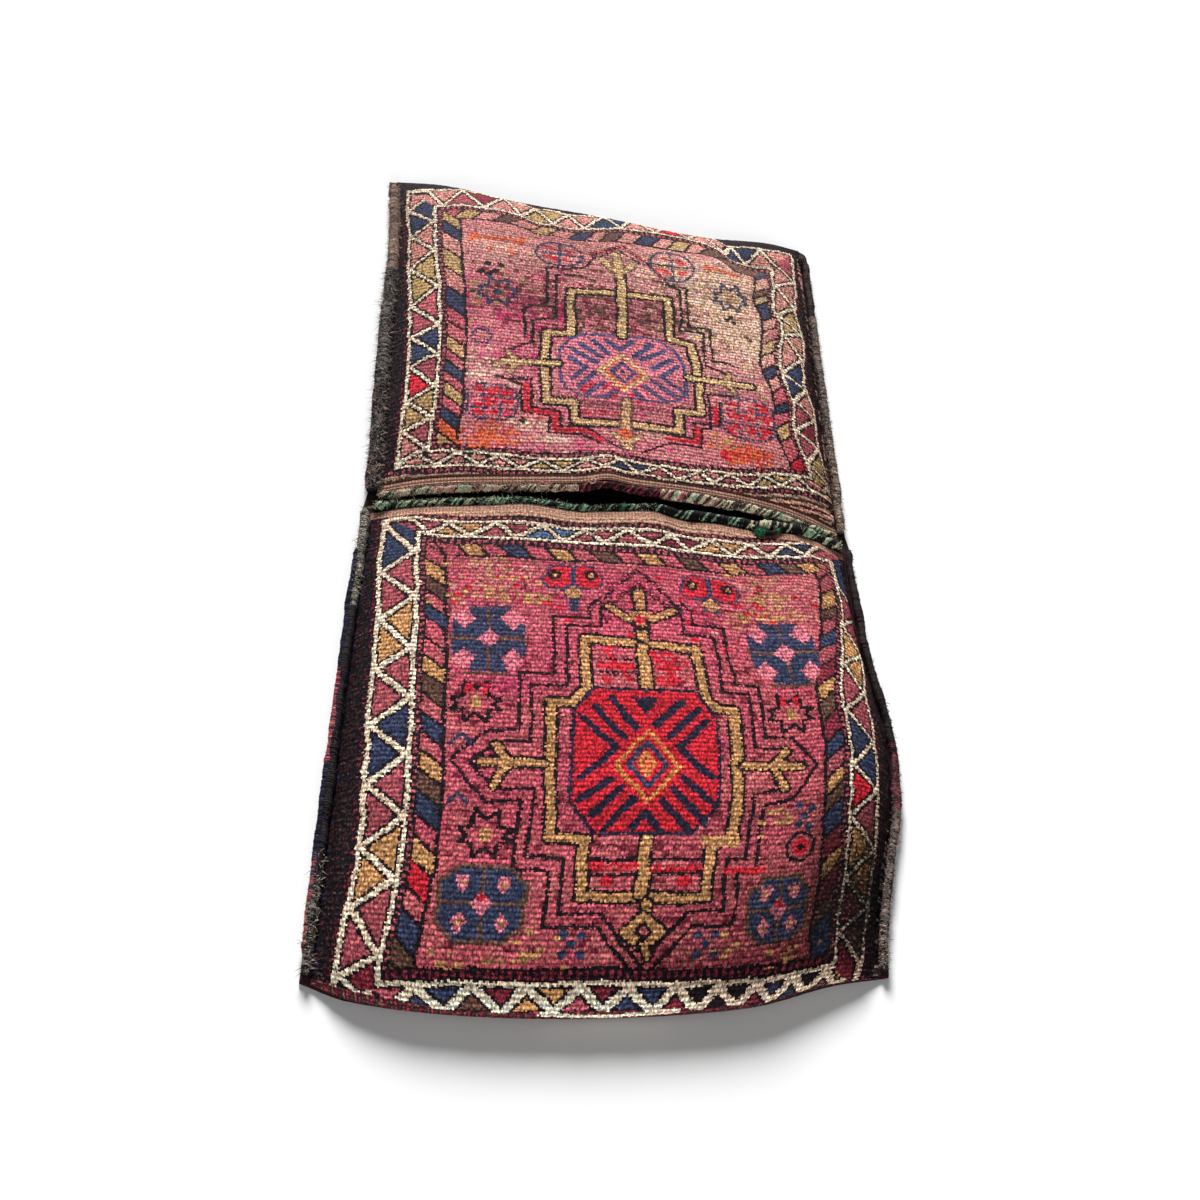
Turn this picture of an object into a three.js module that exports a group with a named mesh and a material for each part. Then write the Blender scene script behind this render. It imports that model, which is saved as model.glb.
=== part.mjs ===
// Double saddlebag with knotted pile faces, lying flat with both pouches facing up.
// Millimetres, +Z up. X runs across the bag, Y along it from the lower pouch to the upper one.
// A flat-woven back lies on the ground and runs under both pouches and the bridge between them.
// Each pile face arches over the back, sewn to it along both sides and folded into it at the far end,
// so a pouch opens only at its mouth, beside the bridge.
import * as THREE from "three";

// Cloth and cords
const BAG_WIDTH = 520;
const LOWER_LENGTH = 549;
const UPPER_LENGTH = 512;
const LOWER_LOFT = 46;
const UPPER_LOFT = 35;
const EDGE_WANDER = 10;
const SWELL_RISE = 10;
const SLIT_WIDTH = 8;
const BACK_THICKNESS = 3;
const FACE_THICKNESS = 7;
const SEAM_DIAMETER = 9;
const BINDING_DIAMETER = 9;
const FOLD_MARGIN = 2;
const CLEARANCE = 0.3;
const BINDING_CLEARANCE = 0.6;

// How a slack, half-empty pouch lies: each pair is a place along the edge, from 0 to 1, and a share.
// Side spread, mouth sway and fold reach are shares of the edges' wander, and loft is one of the full loft.
// Side spread is outward from half the bag's width, from the mouth (0) to the fold (1).
// Mouth sway and fold reach run from the left edge (0) to the right edge (1), in the direction of +Y.
// Loft is the height of the face over the back, from the mouth (0) to the fold (1).
// A swell is a soft hump or hollow: place across, place along, reach across, reach along, share of the rise.
const LOWER_POUCH = {
  name: "lower",
  direction: -1,
  length: LOWER_LENGTH,
  fullLoft: LOWER_LOFT,
  leftSpread: [[0, -0.8], [0.5, -0.4], [1, -0.2]],
  rightSpread: [[0, 0.6], [0.25, 1], [0.47, 2.4], [0.62, 2.2], [0.78, 0.5], [0.9, -0.8], [1, -1.4]],
  mouthSway: [[0, -0.1], [0.25, 0.1], [0.5, 0.6], [0.62, 0.6], [0.8, -0.3], [0.9, 0.2], [1, -0.7]],
  foldReach: [[0, 0.6], [0.08, -0.8], [0.25, -1.6], [0.5, -1.3], [0.75, 0.2], [0.9, 2.6], [1, 3.6]],
  loft: [[0, 0.587], [0.25, 0.87], [0.55, 1], [0.85, 0.848], [1, 0.717]],
  swells: [[0.9, 0.84, 0.09, 0.14, -0.9], [0.3, 0.3, 0.2, 0.2, 0.3], [0.62, 0.7, 0.2, 0.2, 0.3]],
};
const UPPER_POUCH = {
  name: "upper",
  direction: 1,
  length: UPPER_LENGTH,
  fullLoft: UPPER_LOFT,
  leftSpread: [[0, -1.2], [0.5, -0.6], [0.8, -0.3], [1, 0.6]],
  rightSpread: [[0, 0.2], [0.5, 0.2], [1, 0.2]],
  mouthSway: [[0, -0.2], [0.25, 0.2], [0.5, 1.3], [0.65, 1.1], [0.85, 0.1], [1, -1]],
  foldReach: [[0, 3.2], [0.12, 3.3], [0.3, 1.4], [0.5, 0.1], [0.75, -2], [0.92, -1.8], [1, -2.6]],
  loft: [[0, 0.886], [0.3, 1], [0.6, 1], [0.8, 0.83], [0.92, 0.515], [1, 0.315]],
  swells: [[0.78, 0.77, 0.1, 0.1, 0.9], [0.87, 0.85, 0.055, 0.06, -1], [0.35, 0.48, 0.2, 0.25, 0.3]],
};

// Section of a pouch: a lens at the mouth that fills out to a pillow with round sides and a round fold.
// A higher power makes a flatter middle, and a root of 0.5 turns the edge straight down to the back.
const LENS_POWER = 4;
const LENS_ROOT = 1;
const PILLOW_POWER = 7;
const PILLOW_ROOT = 0.8;
const FOLD_POWER = 26;
const FOLD_ROOT = 0.5;
const MOUTH_BLEND = 0.2;

// Fineness of the modelled surfaces
const FACE_CELLS_ACROSS = 28;
const FACE_CELLS_ALONG = 26;
const EDGE_CELLS = 24;
const CORD_SIDES = 8;
const BINDING_STEPS = 32;
const BINDING_ENDS = [0.035, 0.965];

const SEAT = BACK_THICKNESS + CLEARANCE;
const SEAM_OFFSET = SEAM_DIAMETER / 2 + CLEARANCE;
const SEAM_ALLOWANCE = SEAM_DIAMETER + 2 * CLEARANCE;
const BINDING_ALLOWANCE = BINDING_DIAMETER + BINDING_CLEARANCE;

const MATERIALS = {
  pile: new THREE.MeshStandardMaterial({ color: 0x9c4152, roughness: 0.95, metalness: 0 }),
  flatweave: new THREE.MeshStandardMaterial({ color: 0x6b4038, roughness: 0.9, metalness: 0 }),
  goatHair: new THREE.MeshStandardMaterial({ color: 0x2c2522, roughness: 0.9, metalness: 0 }),
  wrapping: new THREE.MeshStandardMaterial({ color: 0x4a5246, roughness: 0.9, metalness: 0 }),
};

// Smooth curve through [place, share] pairs of a length, each slope taken from the pair's two neighbours.
function curveThrough(shares, length) {
  const pairs = shares.map(([place, share]) => [place, share * length]);
  const last = pairs.length - 1;
  const slopes = pairs.map((pair, index) => {
    const before = pairs[Math.max(index - 1, 0)];
    const after = pairs[Math.min(index + 1, last)];
    return (after[1] - before[1]) / (after[0] - before[0]);
  });
  return (place) => {
    let index = 0;
    while (index < last - 1 && place > pairs[index + 1][0]) {
      index += 1;
    }
    const [start, startValue] = pairs[index];
    const [end, endValue] = pairs[index + 1];
    const span = end - start;
    const u = (place - start) / span;
    const rise = u * u * (3 - 2 * u);
    const startBend = u * (1 - u) * (1 - u) * slopes[index];
    const endBend = u * u * (u - 1) * slopes[index + 1];
    return startValue + (endValue - startValue) * rise + span * (startBend + endBend);
  };
}

// The curves of one pouch, and the places of its edges in plan.
function layOut(shape) {
  const leftSpread = curveThrough(shape.leftSpread, EDGE_WANDER);
  const rightSpread = curveThrough(shape.rightSpread, EDGE_WANDER);
  const mouthSway = curveThrough(shape.mouthSway, EDGE_WANDER);
  const foldReach = curveThrough(shape.foldReach, EDGE_WANDER);
  const half = BAG_WIDTH / 2;
  return {
    ...shape,
    loftAt: curveThrough(shape.loft, shape.fullLoft),
    left: (along) => -half - leftSpread(along),
    right: (along) => half + rightSpread(along),
    slitEdge: (across) => shape.direction * (SLIT_WIDTH / 2) + mouthSway(across),
    fold: (across) => shape.direction * (SLIT_WIDTH / 2 + shape.length) + foldReach(across),
  };
}

// Share of the full loft at a place on the face.
function fullness(across, along) {
  const blend = THREE.MathUtils.smoothstep(along, 0, MOUTH_BLEND);
  const fromMiddle = Math.min(Math.abs(2 * across - 1), 1);
  const power = THREE.MathUtils.lerp(LENS_POWER, PILLOW_POWER, blend);
  const root = THREE.MathUtils.lerp(LENS_ROOT, PILLOW_ROOT, blend);
  const side = Math.pow(1 - Math.pow(fromMiddle, power), root);
  const fold = Math.pow(1 - Math.pow(along, FOLD_POWER), FOLD_ROOT);
  return side * fold;
}

// A point of the face's skin, inset from its outer surface by a distance.
function facePoint(pouch, across, along, inset) {
  const left = pouch.left(along);
  const right = pouch.right(along);
  const x = THREE.MathUtils.lerp(left + inset, right - inset, across);
  const edgePlace = (x - left) / (right - left);
  const rim = pouch.slitEdge(edgePlace) + pouch.direction * BINDING_ALLOWANCE;
  const fold = pouch.fold(edgePlace) - pouch.direction * inset;
  let loft = pouch.loftAt(along) - inset;
  for (const [placeAcross, placeAlong, reachAcross, reachAlong, share] of pouch.swells) {
    const offAcross = (across - placeAcross) / reachAcross;
    const offAlong = (along - placeAlong) / reachAlong;
    loft += SWELL_RISE * share * Math.exp(-offAcross * offAcross - offAlong * offAlong);
  }
  return new THREE.Vector3(
    x,
    THREE.MathUtils.lerp(rim, fold, along),
    SEAT + loft * fullness(across, along),
  );
}

// A closed skin between two grids of points that share their outline: the outer one and the inner one.
function skinGeometry(cellsAcross, cellsAlong, outerPoint, innerPoint, facesUp) {
  const columns = cellsAcross + 1;
  const rows = cellsAlong + 1;
  const positions = [];
  for (const pointAt of [outerPoint, innerPoint]) {
    for (let row = 0; row < rows; row += 1) {
      for (let column = 0; column < columns; column += 1) {
        positions.push(...pointAt(column, row).toArray());
      }
    }
  }
  const triangles = [];
  const quad = (a, b, c, d) => {
    const corners = facesUp ? [a, b, c, d] : [d, c, b, a];
    triangles.push(corners[0], corners[1], corners[2], corners[0], corners[2], corners[3]);
  };
  const outer = (column, row) => row * columns + column;
  const inner = (column, row) => columns * rows + outer(column, row);
  for (let row = 0; row < cellsAlong; row += 1) {
    for (let column = 0; column < cellsAcross; column += 1) {
      quad(outer(column, row), outer(column + 1, row), outer(column + 1, row + 1), outer(column, row + 1));
      quad(inner(column, row), inner(column, row + 1), inner(column + 1, row + 1), inner(column + 1, row));
    }
  }
  for (let column = 0; column < cellsAcross; column += 1) {
    quad(inner(column, 0), inner(column + 1, 0), outer(column + 1, 0), outer(column, 0));
    const end = cellsAlong;
    quad(outer(column, end), outer(column + 1, end), inner(column + 1, end), inner(column, end));
  }
  for (let row = 0; row < cellsAlong; row += 1) {
    quad(outer(0, row), outer(0, row + 1), inner(0, row + 1), inner(0, row));
    const end = cellsAcross;
    quad(inner(end, row), inner(end, row + 1), outer(end, row + 1), outer(end, row));
  }
  const geometry = new THREE.BufferGeometry();
  geometry.setAttribute("position", new THREE.Float32BufferAttribute(positions, 3));
  geometry.setIndex(triangles);
  geometry.computeVertexNormals();
  return geometry;
}

// Cells crowd towards the two sides and the fold, where the face turns down to the back.
function pileFace(pouch) {
  const across = (column) => (1 - Math.cos((Math.PI * column) / FACE_CELLS_ACROSS)) / 2;
  const along = (row) => Math.sin((Math.PI / 2) * (row / FACE_CELLS_ALONG));
  const skin = (inset) => (column, row) => facePoint(pouch, across(column), along(row), inset);
  const facesUp = pouch.direction > 0;
  const geometry = skinGeometry(FACE_CELLS_ACROSS, FACE_CELLS_ALONG, skin(0), skin(FACE_THICKNESS), facesUp);
  return namedMesh(`${pouch.name}_face`, geometry, MATERIALS.pile);
}

// A round cord along a list of points.
function cordGeometry(points, diameter, steps) {
  const section = new THREE.Shape();
  for (let side = 0; side < CORD_SIDES; side += 1) {
    const angle = (2 * Math.PI * (side + 0.5)) / CORD_SIDES;
    const corner = [Math.cos(angle) * (diameter / 2), Math.sin(angle) * (diameter / 2)];
    if (side === 0) {
      section.moveTo(...corner);
    } else {
      section.lineTo(...corner);
    }
  }
  section.closePath();
  const route = new THREE.CatmullRomCurve3(points);
  return new THREE.ExtrudeGeometry(section, { steps, extrudePath: route, bevelEnabled: false });
}

// Overcast cord that closes one side of a pouch, lying on the back just outside the face's edge.
function sideSeam(pouch, side) {
  const edge = side === "left" ? pouch.left : pouch.right;
  const outward = side === "left" ? -1 : 1;
  const across = side === "left" ? 0 : 1;
  const points = [];
  for (let step = 0; step <= EDGE_CELLS; step += 1) {
    const along = step / EDGE_CELLS;
    const place = facePoint(pouch, across, along, 0);
    const height = SEAT + SEAM_DIAMETER / 2;
    points.push(new THREE.Vector3(edge(along) + outward * SEAM_OFFSET, place.y, height));
  }
  const geometry = cordGeometry(points, SEAM_DIAMETER, EDGE_CELLS);
  return namedMesh(`${pouch.name}_${side}_seam`, geometry, MATERIALS.goatHair);
}

// Wrapped cord along the free edge of the mouth, level with the middle of the face's thickness.
function mouthBinding(pouch) {
  const points = [];
  const radius = BINDING_DIAMETER / 2;
  for (let step = 0; step <= BINDING_STEPS; step += 1) {
    const across = THREE.MathUtils.lerp(BINDING_ENDS[0], BINDING_ENDS[1], step / BINDING_STEPS);
    const outer = facePoint(pouch, across, 0, 0);
    const middle = outer.z - FACE_THICKNESS / 2;
    const y = pouch.slitEdge(across) + pouch.direction * radius;
    points.push(new THREE.Vector3(outer.x, y, Math.max(middle, SEAT + radius)));
  }
  const geometry = cordGeometry(points, BINDING_DIAMETER, BINDING_STEPS);
  return namedMesh(`${pouch.name}_mouth_binding`, geometry, MATERIALS.wrapping);
}

// The flat-woven back, one strip under both pouches and the bridge, with room for the seams on both sides.
function backPanel(lower, upper) {
  const sidePoints = (pouch, edge, across, outward) => {
    const points = [];
    for (let step = 0; step <= EDGE_CELLS; step += 1) {
      const along = step / EDGE_CELLS;
      const y = facePoint(pouch, across, along, 0).y;
      const endAllowance = step === EDGE_CELLS ? pouch.direction * FOLD_MARGIN : 0;
      points.push(new THREE.Vector2(edge(along) + outward * SEAM_ALLOWANCE, y + endAllowance));
    }
    return points;
  };
  const foldPoints = (pouch) => {
    const points = [];
    for (let step = 0; step <= EDGE_CELLS; step += 1) {
      const across = step / EDGE_CELLS;
      const place = facePoint(pouch, across, 1, 0);
      points.push(new THREE.Vector2(place.x, place.y + pouch.direction * FOLD_MARGIN));
    }
    return points;
  };
  const outline = [
    ...sidePoints(lower, lower.right, 1, 1).reverse(),
    ...sidePoints(upper, upper.right, 1, 1),
    ...foldPoints(upper).reverse(),
    ...sidePoints(upper, upper.left, 0, -1).reverse(),
    ...sidePoints(lower, lower.left, 0, -1),
    ...foldPoints(lower),
  ];
  const shape = new THREE.Shape(outline);
  const geometry = new THREE.ExtrudeGeometry(shape, { depth: BACK_THICKNESS, bevelEnabled: false });
  return namedMesh("back_panel", geometry, MATERIALS.flatweave);
}

function namedMesh(name, geometry, material) {
  const mesh = new THREE.Mesh(geometry, material);
  mesh.name = name;
  return mesh;
}

const lower = layOut(LOWER_POUCH);
const upper = layOut(UPPER_POUCH);
const bag = new THREE.Group();
bag.add(backPanel(lower, upper));
for (const pouch of [lower, upper]) {
  bag.add(pileFace(pouch));
  bag.add(sideSeam(pouch, "left"));
  bag.add(sideSeam(pouch, "right"));
  bag.add(mouthBinding(pouch));
}

// The origin is under the middle of the whole bag, on the ground.
const extent = new THREE.Box3().setFromObject(bag);
const middle = extent.getCenter(new THREE.Vector3());
bag.position.set(-middle.x, -middle.y, -extent.min.z);

const saddlebag = new THREE.Group();
saddlebag.add(bag);
export default saddlebag;
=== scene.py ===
"""A double pile saddlebag lying flat: knotted faces, a striped back, overcast seams and wrapped mouths."""

import math
from dataclasses import dataclass

import bpy
import numpy as np
from mathutils import Matrix, Vector


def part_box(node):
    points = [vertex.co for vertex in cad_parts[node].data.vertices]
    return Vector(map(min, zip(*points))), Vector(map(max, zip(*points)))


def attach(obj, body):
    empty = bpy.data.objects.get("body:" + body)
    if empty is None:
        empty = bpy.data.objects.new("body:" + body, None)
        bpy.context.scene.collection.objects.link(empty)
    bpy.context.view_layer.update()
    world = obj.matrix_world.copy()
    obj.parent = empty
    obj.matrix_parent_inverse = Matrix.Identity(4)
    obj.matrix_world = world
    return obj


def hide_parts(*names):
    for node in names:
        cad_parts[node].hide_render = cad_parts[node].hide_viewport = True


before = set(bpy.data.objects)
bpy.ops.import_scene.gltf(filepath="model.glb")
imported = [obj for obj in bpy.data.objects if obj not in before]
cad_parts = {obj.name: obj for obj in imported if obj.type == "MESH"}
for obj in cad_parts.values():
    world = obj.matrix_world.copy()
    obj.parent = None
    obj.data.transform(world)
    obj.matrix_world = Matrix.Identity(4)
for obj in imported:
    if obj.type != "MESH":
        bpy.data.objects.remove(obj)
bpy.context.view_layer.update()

# Sizes of the bag, in metres, as the solids have them.
BAG_WIDTH = 0.520
SLIT_WIDTH = 0.008
BACK_THICKNESS = 0.003
FACE_THICKNESS = 0.007
SEAM_RADIUS = 0.0045
SEAM_ALLOWANCE = 0.0096
BINDING_RADIUS = 0.0045
BINDING_ALLOWANCE = 0.0096
BINDING_TUCK = 0.0035
FOLD_MARGIN = 0.002
SEAT = 0.0033
EDGE_WANDER = 0.010
SWELL_RISE = 0.010

# The form of a filled pouch: how round its cross-section is at the mouth and in the body,
# and how blunt its fold is.
MOUTH_BLEND = 0.2
LENS_POWER, LENS_ROOT = 4.0, 1.0
PILLOW_POWER, PILLOW_ROOT = 7.0, 0.8
FOLD_POWER, FOLD_ROOT = 26.0, 0.5

# The weave: design steps across a face, mesh cells to a step, knots across and how far apart their rows lie;
# then the plain-woven band at the mouth, and how many cells go to one of the inner skin each way.
STEPS_ACROSS = 148
STEP_CELLS = 2
CELLS_ACROSS = STEPS_ACROSS * STEP_CELLS
KNOTS_ACROSS = 156
KNOT_ROW = 0.0050
BAND_FINENESS = 2.4
BAND_LENGTH = 0.012
BAND_ROWS = 8
SKIN_STEP = 8

# Yarn colours as they look in daylight, red, green and blue from 0 to 255.
YARNS = {
    "rose": (188, 86, 95),
    "magenta": (204, 50, 106),
    "red": (204, 38, 52),
    "plum": (166, 80, 88),
    # The upper face's ground, paler than the lower's rose: partly fading, partly painted sheen of its pile.
    "dusk": (198, 122, 124),
    "dark": (32, 22, 28),
    "ink": (40, 36, 58),
    "navy": (54, 61, 88),
    "slate": (76, 76, 112),
    "blue": (88, 116, 150),
    "ochre": (194, 141, 92),
    "amber": (210, 128, 72),
    "straw": (214, 174, 124),
    "ivory": (242, 212, 184),
    "brown": (100, 70, 58),
    "maroon": (128, 44, 58),
    "wine": (60, 26, 34),
    "orange": (224, 100, 62),
    "salmon": (204, 134, 124),
    "pink": (218, 118, 132),
    "beige": (228, 190, 166),
    "soot": (22, 18, 22),
    "ash": (146, 138, 132),
    "hair": (62, 47, 44),
    "tan": (158, 126, 106),
    "khaki": (182, 148, 98),
    "clay": (206, 150, 128),
    "fawn": (192, 142, 118),
    "sage": (156, 190, 154),
    "green": (40, 110, 76),
    "cream": (228, 214, 182),
    "jade": (58, 150, 104),
}
YARN_ROW = {name: row for row, name in enumerate(YARNS)}


def linear(colour):
    """A colour from 0 to 255 as linear light."""
    share = np.asarray(colour, float) / 255
    return np.where(share <= 0.04045, share / 12.92, ((share + 0.055) / 1.055) ** 2.4)


DYES = np.array([linear(colour) for colour in YARNS.values()])
# The darkest and the brightest that yarn gets, as linear light.
DARKEST, BRIGHTEST = 0.002, 0.95


def through(pairs):
    """A smooth curve through (place, value) pairs, level with its ends outside them."""
    at, value = np.array(pairs, float).T
    last = len(at) - 1
    before = np.maximum(np.arange(last + 1) - 1, 0)
    after = np.minimum(np.arange(last + 1) + 1, last)
    slope = (value[after] - value[before]) / (at[after] - at[before])

    def curve(place):
        place = np.clip(np.asarray(place, float), at[0], at[-1])
        i = np.clip(np.searchsorted(at, place) - 1, 0, last - 1)
        span = at[i + 1] - at[i]
        t = (place - at[i]) / span
        rise = t * t * (3 - 2 * t)
        lean = t * (1 - t) ** 2 * slope[i] + t * t * (t - 1) * slope[i + 1]
        return value[i] + (value[i + 1] - value[i]) * rise + span * lean

    return curve


def smooth(share):
    """An even rise from 0 to 1 that starts and ends level."""
    share = np.clip(share, 0, 1)
    return share * share * (3 - 2 * share)


@dataclass
class Pouch:
    """One filled pouch: the outline of its face and how high the face stands over the back."""

    name: str
    direction: int  # the way it runs from the slit along y
    length: float
    left_spread: list  # how far the left edge wanders outwards, as (share of the way along, distance)
    right_spread: list
    mouth_sway: list  # how far the mouth's edge wanders along y, as (share of the way across, distance)
    fold_reach: list
    loft_height: float
    loft: list  # how much of that height it has, as (share of the way along, share)
    swells: list  # place across and along, reach across and along, rise
    puckers: list  # place across, reach, rise
    pucker_reach: float  # how far the puckers run into the pouch

    def edges(self, along):
        """The x of the face's left and right edges."""
        left = -BAG_WIDTH / 2 - EDGE_WANDER * through(self.left_spread)(along)
        right = BAG_WIDTH / 2 + EDGE_WANDER * through(self.right_spread)(along)
        return left, right

    def slit_edge(self, across):
        """The y of the mouth's edge, where the binding lies."""
        return self.direction * SLIT_WIDTH / 2 + EDGE_WANDER * through(self.mouth_sway)(across)

    def fold_edge(self, across):
        """The y of the fold at the closed end."""
        reach = EDGE_WANDER * through(self.fold_reach)(across)
        return self.direction * (SLIT_WIDTH / 2 + self.length) + reach

    def fullness(self, across, along):
        """How much of the loft stands at a place, from 0 at the sides and the fold to 1."""
        body = smooth(along / MOUTH_BLEND)
        off_middle = np.minimum(np.abs(2 * across - 1), 1)
        power = LENS_POWER + (PILLOW_POWER - LENS_POWER) * body
        root = LENS_ROOT + (PILLOW_ROOT - LENS_ROOT) * body
        side = (1 - off_middle ** power) ** root
        return side * np.clip(1 - along ** FOLD_POWER, 0, 1) ** FOLD_ROOT

    def pucker(self, across, along):
        """The ripple where the mouth's cloth gathers, which dies out into the pouch."""
        height = 0.0
        for place, reach, rise in self.puckers:
            height = height + rise * np.exp(-((across - place) / reach) ** 2)
        return height * np.exp(-(along * self.length / self.pucker_reach) ** 2)

    def point(self, across, along, inset=0.0):
        """A place on the face's upper skin, or on the skin that lies that far inside it."""
        across, along = np.broadcast_arrays(np.asarray(across, float), np.asarray(along, float))
        left, right = self.edges(along)
        x = left + inset + (right - left - 2 * inset) * across
        place = (x - left) / (right - left)
        rim = self.slit_edge(place) + self.direction * BINDING_ALLOWANCE
        y = rim + (self.fold_edge(place) - self.direction * inset - rim) * along
        loft = self.loft_height * through(self.loft)(along) - inset + self.pucker(across, along)
        for swell_across, swell_along, reach_across, reach_along, rise in self.swells:
            off = ((across - swell_across) / reach_across) ** 2 + ((along - swell_along) / reach_along) ** 2
            loft = loft + SWELL_RISE * rise * np.exp(-off)
        z = SEAT + loft * self.fullness(across, along)
        return np.stack([x, y, z], axis=-1)


LOWER = Pouch(
    name="lower", direction=-1, length=0.549,
    left_spread=[(0, -0.8), (0.5, -0.4), (1, -0.2)],
    right_spread=[(0, 0.6), (0.25, 1), (0.47, 2.4), (0.62, 2.2), (0.78, 0.5), (0.9, -0.8), (1, -1.4)],
    mouth_sway=[(0, -0.1), (0.25, 0.1), (0.5, 0.6), (0.62, 0.6), (0.8, -0.3), (0.9, 0.2), (1, -0.7)],
    fold_reach=[(0, 0.6), (0.08, -0.8), (0.25, -1.6), (0.5, -1.3), (0.75, 0.2), (0.9, 2.6), (1, 3.6)],
    loft_height=0.046, loft=[(0, 0.587), (0.25, 0.87), (0.55, 1), (0.85, 0.848), (1, 0.717)],
    swells=[(0.9, 0.84, 0.09, 0.14, -0.9), (0.3, 0.3, 0.2, 0.2, 0.3), (0.62, 0.7, 0.2, 0.2, 0.3)],
    puckers=[(0.31, 0.06, 0.005), (0.43, 0.05, -0.004), (0.58, 0.05, 0.004), (0.65, 0.04, -0.005)],
    pucker_reach=0.045,
)
UPPER = Pouch(
    name="upper", direction=1, length=0.512,
    left_spread=[(0, -1.2), (0.5, -0.6), (0.8, -0.3), (1, 0.6)],
    right_spread=[(0, 0.2), (0.5, 0.2), (1, 0.2)],
    mouth_sway=[(0, -0.2), (0.25, 0.2), (0.5, 1.3), (0.65, 1.1), (0.85, 0.1), (1, -1)],
    fold_reach=[(0, 3.2), (0.12, 3.3), (0.3, 1.4), (0.5, 0.1), (0.75, -2), (0.92, -1.8), (1, -2.6)],
    loft_height=0.035, loft=[(0, 0.886), (0.3, 1), (0.6, 1), (0.8, 0.83), (0.92, 0.515), (1, 0.315)],
    swells=[(0.78, 0.77, 0.1, 0.1, 0.9), (0.87, 0.85, 0.055, 0.06, -1), (0.35, 0.48, 0.2, 0.25, 0.3)],
    puckers=[(0.487, 0.04, 0.007)],
    pucker_reach=0.05,
)


def back_edges(pouch, along):
    """The back's left and right edges beside a pouch, as x and y."""
    left, right = pouch.edges(along)
    left_y = pouch.point(0.0, along)[..., 1]
    right_y = pouch.point(1.0, along)[..., 1]
    return (left - SEAM_ALLOWANCE, left_y), (right + SEAM_ALLOWANCE, right_y)


# The points on each edge that the outline's box is measured from.
OUTLINE_POINTS = 801


def frame_shift():
    """How far the solids were moved to put the middle of the bag's box over the frame's origin."""
    low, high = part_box("back_panel")
    share = np.linspace(0, 1, OUTLINE_POINTS)
    xs, ys = [], []
    for pouch in (LOWER, UPPER):
        (left, _), (right, _) = back_edges(pouch, share)
        xs += [left, right]
        ys.append(pouch.fold_edge(share) + pouch.direction * FOLD_MARGIN)
    middle_x = (np.min(xs) + np.max(xs)) / 2
    middle_y = (np.min(ys) + np.max(ys)) / 2
    return np.array([(low.x + high.x) / 2 - middle_x, (low.y + high.y) / 2 - middle_y, 0.0])


SHIFT = frame_shift()


def arc_along(line):
    """How far along a line each of its points lies."""
    return np.r_[0, np.cumsum(np.linalg.norm(np.diff(line, axis=0), axis=1))]


# Fine steps along and across a face, closer together where it curves most.
FINE_ALONG = 1 - (1 - np.linspace(0, 1, 4001)) ** 2
FINE_ACROSS = 0.5 - 0.5 * np.cos(np.linspace(0, np.pi, 801))


def middle_arc(pouch):
    """How far along the cloth each fine step lies, down the middle of a face."""
    return arc_along(pouch.point(0.5, FINE_ALONG))


def lattice(pouch, arcs, columns):
    """Across and along values whose places lie evenly on the cloth, row by row from the mouth."""
    along_rows = np.interp(arcs, middle_arc(pouch), FINE_ALONG)
    across = np.empty((len(arcs), columns + 1))
    for row, along in enumerate(along_rows):
        arc = arc_along(pouch.point(FINE_ACROSS, along))
        across[row] = np.interp(np.linspace(0, arc[-1], columns + 1), arc, FINE_ACROSS)
    return across, np.repeat(along_rows[:, None], columns + 1, axis=1)


def uneven(rng, shape, spacing, size):
    """Slow random waves over a grid, level over about that many cells."""
    rows, columns = shape
    coarse = rng.normal(0, size, (rows // spacing + 2, columns // spacing + 2))
    at_row, at_column = np.arange(rows) / spacing, np.arange(columns) / spacing
    row, column = at_row.astype(int), at_column.astype(int)
    down, right = (at_row - row)[:, None], (at_column - column)[None, :]
    band = coarse[row] * (1 - down) + coarse[row + 1] * down
    return band[:, column] * (1 - right) + band[:, column + 1] * right


# How far knots stray from their places, in steps: in slow waves over so many cells, and one by one.
WAVE_CELLS, WAVE_STRAY, CELL_STRAY = 9, 0.25, 0.16
# The cells of a stray knot along and across, how readily it runs on into the next, and how unevenly rows take
# strays.
KNOT_CELLS = (3, 2)
RUN_ON = 1.5
ROW_TAKES = (0.2, 1.8)


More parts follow.
